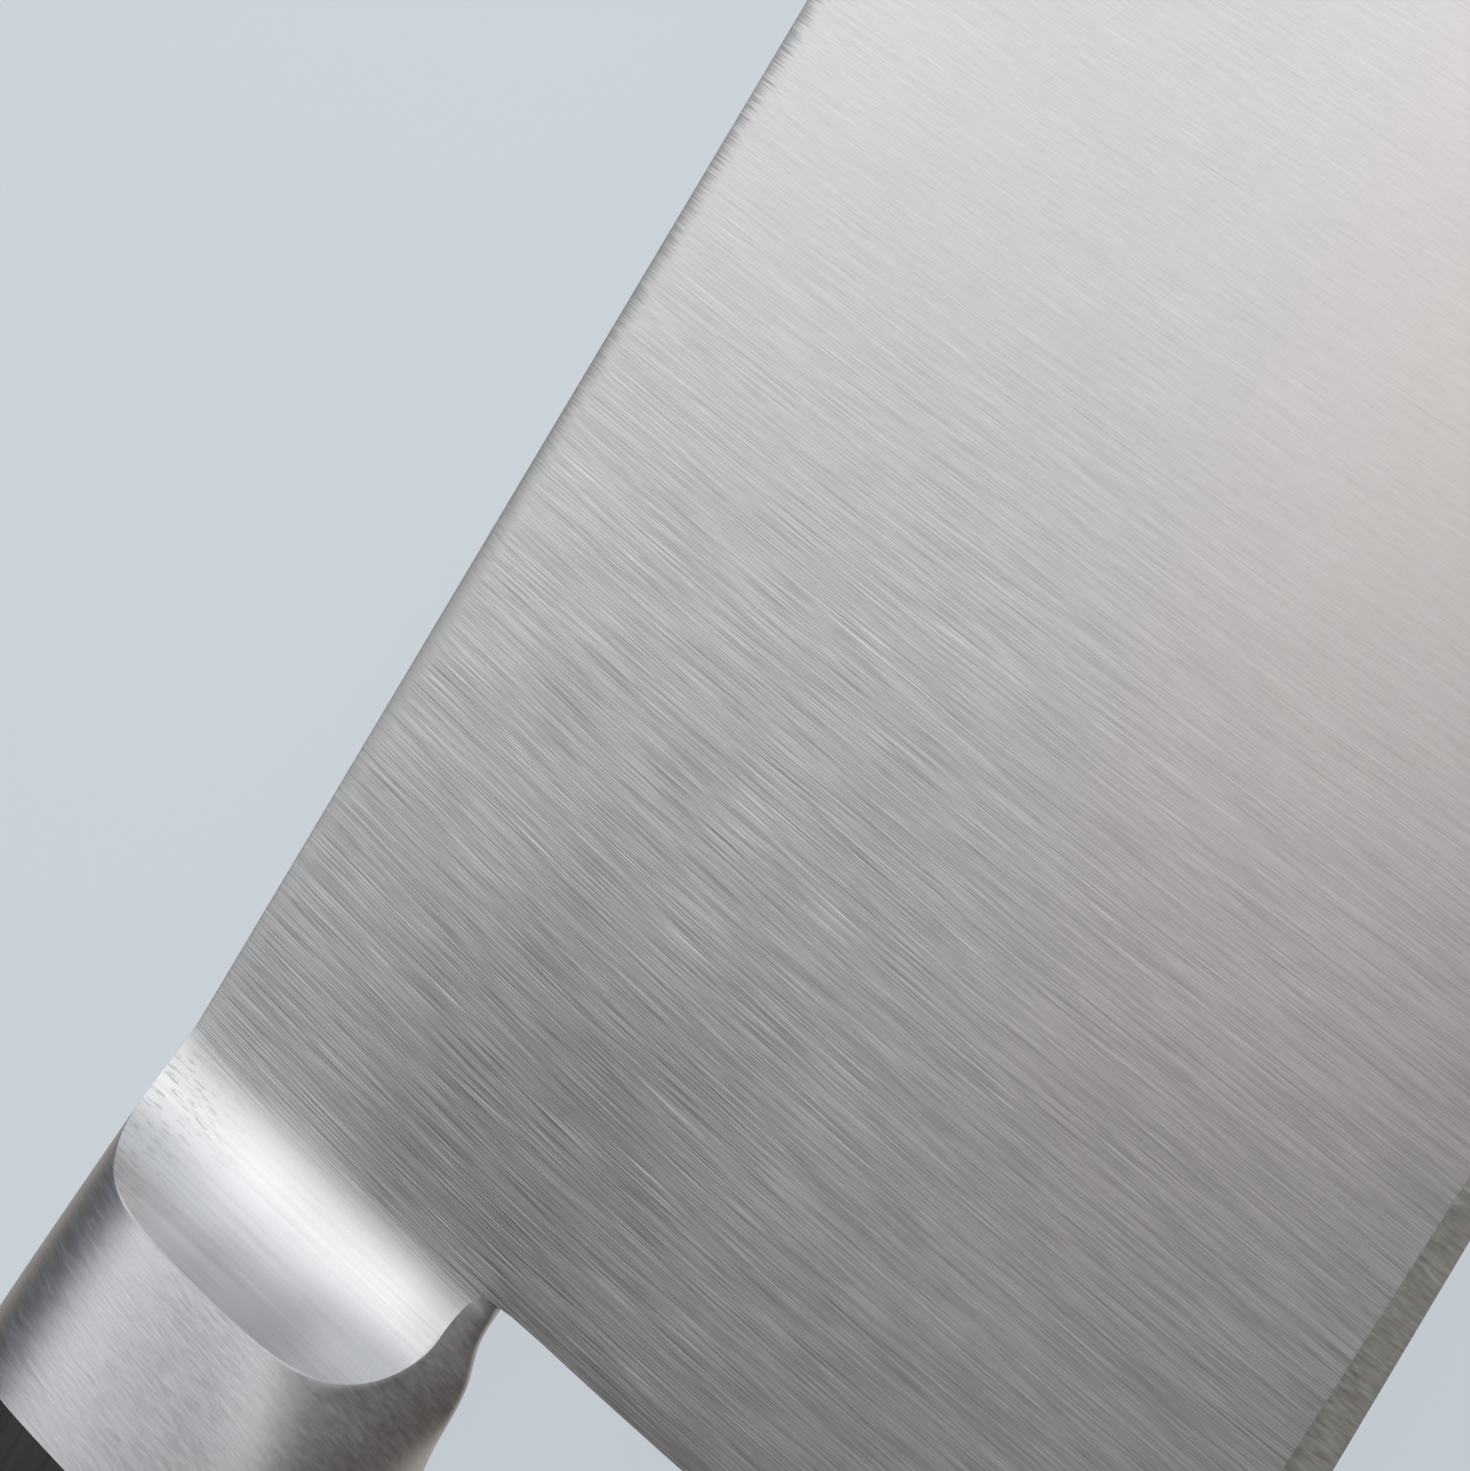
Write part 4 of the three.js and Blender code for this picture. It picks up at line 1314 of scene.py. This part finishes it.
class GYUTO_OT_stage(bpy.types.Operator):
    """Set up the camera, the pale floor and the soft light"""
    bl_idname = "gyuto.stage"
    bl_label = "Stage"

    def execute(self, context):
        scene = context.scene
        stage = scene.gyuto_stage
        scene.view_settings.view_transform = "Standard"
        self.add_camera(scene, stage)
        self.add_floor(scene, stage)
        self.add_lights(scene)
        self.set_world(scene, stage)
        return {"FINISHED"}

    def add_camera(self, scene, stage):
        origin = BladeForm(scene).origin
        aim = origin + Vector((stage.aim_along, -stage.aim_down, stage.aim_out))
        data = bpy.data.cameras.new("photo_camera")
        data.lens = stage.lens
        data.clip_start = stage.clip_start
        camera = bpy.data.objects.new("photo_camera", data)
        scene.collection.objects.link(camera)
        towards = Vector((0.0, -math.sin(stage.tilt), math.cos(stage.tilt)))
        along = Vector((1.0, 0.0, 0.0))
        to_spine = towards.cross(along)
        right = along * math.cos(stage.roll) - to_spine * math.sin(stage.roll)
        up = along * math.sin(stage.roll) + to_spine * math.cos(stage.roll)
        distance = stage.width * data.lens / data.sensor_width
        turn = Matrix((right, up, towards)).transposed().to_4x4()
        camera.matrix_world = Matrix.Translation(aim + towards * distance) @ turn
        scene.camera = camera

    def add_floor(self, scene, stage):
        mesh = bmesh.new()
        bmesh.ops.create_grid(mesh, x_segments=4, y_segments=4, size=stage.floor_reach)
        data = bpy.data.meshes.new("floor")
        mesh.to_mesh(data)
        mesh.free()
        floor = bpy.data.objects.new("floor", data)
        scene.collection.objects.link(floor)
        data.materials.append(self.floor_material(stage))

    def floor_material(self, stage):
        """Pale to the camera, with a shadow. The steel mirrors it dark, but paler under the handle."""
        material = bpy.data.materials.new("pale_floor")
        material.use_nodes = True
        wiring = Wiring(material.node_tree)
        wiring.tree.nodes.clear()
        ray = wiring.add("ShaderNodeLightPath").outputs

        def mix(share_taken, first, second):
            return wiring.add("ShaderNodeMixShader", {0: share_taken, 1: first, 2: second}).outputs[0]

        def matt(paint):
            return wiring.add("ShaderNodeBsdfDiffuse", {"Color": rgba(paint)}).outputs[0]

        def glow(paint, strength):
            return wiring.add("ShaderNodeEmission", {"Color": rgba(paint), "Strength": strength}).outputs[0]

        # Painted reflection: the steel mirrors a darker floor than the camera sees, and a strip along the
        # knife glows for mirrored rays only
        _, across, _ = wiring.parts(wiring.add("ShaderNodeTexCoord").outputs["Object"])
        off = wiring.distance(across, spine_y - stage.near_drop)
        near = wiring.spread(off, (stage.near_start, stage.near_end), (1.0, 0.0))
        strip = wiring.times(near, ray["Is Glossy Ray"])
        mirrored = mix(strip, matt(stage.floor_shade), glow(stage.floor_near, 1.0))
        seen = mix(stage.floor_glow, matt(stage.floor), glow(stage.floor, stage.glow_strength))
        shown = mix(ray["Is Camera Ray"], mirrored, seen)
        wiring.add("ShaderNodeOutputMaterial", {"Surface": shown})
        return material

    def add_lights(self, scene):
        self.add_softbox(
            scene, "near_softbox", aim=(5, -12, 0), stand=(57, 20, 74), size=(75, 99), radiance=1.16)
        self.add_softbox(
            scene, "spine_softbox", aim=(25, 5, 0), stand=(28, 31, 62), size=(56, 30), radiance=0.10)
        self.add_softbox(
            scene, "heel_softbox", aim=(8, -2, 0), stand=(8, 36, 62), size=(30, 30), radiance=0.34)
        self.add_softbox(
            scene, "tip_softbox", aim=(150, -15, 0), stand=(150, 25, 110), size=(150, 100), radiance=0.48)
        self.add_softbox(
            scene, "bolster_softbox", aim=(-11, -6, 4), stand=(-10.5, 12, 22), size=(14, 18), radiance=0.31)
        self.add_softbox(
            scene, "bolster_card", aim=(-15, -9, 6), stand=(-16, -3.5, 17), size=(10, 10), radiance=0.21)

    def add_softbox(self, scene, name, aim, stand, size, radiance):
        """A soft panel of even brightness that faces its aim, in millimetres from the weld's top."""
        origin = BladeForm(scene).origin
        target = origin + Vector(aim) * MM
        spot = origin + Vector(stand) * MM
        data = bpy.data.lights.new(name, "AREA")
        data.shape = "RECTANGLE"
        data.size = size[0] * MM
        data.size_y = size[1] * MM
        data.energy = radiance * math.pi * data.size * data.size_y
        light = bpy.data.objects.new(name, data)
        scene.collection.objects.link(light)
        out = (spot - target).normalized()
        across = Vector((0.0, 1.0, 0.0)).cross(out).normalized()
        turn = Matrix((across, out.cross(across), out)).transposed().to_4x4()
        light.matrix_world = Matrix.Translation(spot) @ turn
        light.visible_camera = False

    def set_world(self, scene, stage):
        """A dim room with paler sides for the steel to mirror. The camera sees the floor's colour."""
        world = bpy.data.worlds.new("studio")
        scene.world = world
        world.use_nodes = True
        wiring = Wiring(world.node_tree)
        wiring.tree.nodes.clear()
        along, across, up = wiring.parts(wiring.add("ShaderNodeTexCoord").outputs["Generated"])
        room = wiring.blend(wiring.spread(across, WALL_SPAN), rgba(stage.warm_wall), rgba(stage.cool_wall))
        room = wiring.blend(wiring.spread(up, CEILING_SPAN), room, rgba(stage.ceiling))
        edge_band = wiring.between(across, EDGE_BAND_RISE, EDGE_BAND_FALL)
        room = wiring.blend(edge_band, room, rgba(stage.edge_side))
        spine_band = wiring.times(
            wiring.spread(across, SPINE_BAND_SPAN), wiring.spread(up, SPINE_BAND_HEIGHT))
        room = wiring.blend(spine_band, room, rgba(stage.spine_side))
        room = wiring.blend(wiring.spread(along, TIP_SPAN), room, rgba(stage.tip_side))
        room = wiring.blend(wiring.spread(along, BUTT_SPAN), room, rgba(stage.butt_side))
        seen = wiring.add("ShaderNodeLightPath").outputs["Is Camera Ray"]
        shown = wiring.blend(seen, room, rgba(stage.floor))
        ground = wiring.add("ShaderNodeBackground", {"Color": shown, "Strength": 1.0})
        wiring.add("ShaderNodeOutputWorld", {"Surface": ground.outputs[0]})


# Sidebar and registration

class GYUTO_PT_panel(bpy.types.Panel):
    """Lists the knife's pieces and their settings"""
    bl_idname = "GYUTO_PT_panel"
    bl_label = "Gyuto"
    bl_space_type = "VIEW_3D"
    bl_region_type = "UI"
    bl_category = "Gyuto"

    def draw(self, context):
        for operator in OPERATORS:
            self.layout.operator(operator.bl_idname)
        for name, settings in SETTINGS:
            group = getattr(context.scene, name)
            box = self.layout.box()
            for prop in settings.__annotations__:
                box.prop(group, prop)


SETTINGS = (
    ("gyuto_blade", BladeSettings),
    ("gyuto_bolster", BolsterSettings),
    ("gyuto_handle", HandleSettings),
    ("gyuto_finish", FinishSettings),
    ("gyuto_stage", StageSettings),
)
OPERATORS = (
    GYUTO_OT_stage,
    GYUTO_OT_blade,
    GYUTO_OT_bolster,
    GYUTO_OT_tang,
    GYUTO_OT_scales,
    GYUTO_OT_rivets,
)


def register():
    for _, settings in SETTINGS:
        bpy.utils.register_class(settings)
    for cls in (*OPERATORS, GYUTO_PT_panel):
        bpy.utils.register_class(cls)
    for name, settings in SETTINGS:
        setattr(bpy.types.Scene, name, PointerProperty(type=settings))


def unregister():
    for name, _ in SETTINGS:
        delattr(bpy.types.Scene, name)
    for cls in (GYUTO_PT_panel, *reversed(OPERATORS)):
        bpy.utils.unregister_class(cls)
    for _, settings in reversed(SETTINGS):
        bpy.utils.unregister_class(settings)


def main():
    register()
    bpy.ops.gyuto.stage()
    bpy.ops.gyuto.blade()
    bpy.ops.gyuto.bolster()
    bpy.ops.gyuto.tang()
    bpy.ops.gyuto.scales()
    bpy.ops.gyuto.rivets()


if __name__ == "__main__":
    main()
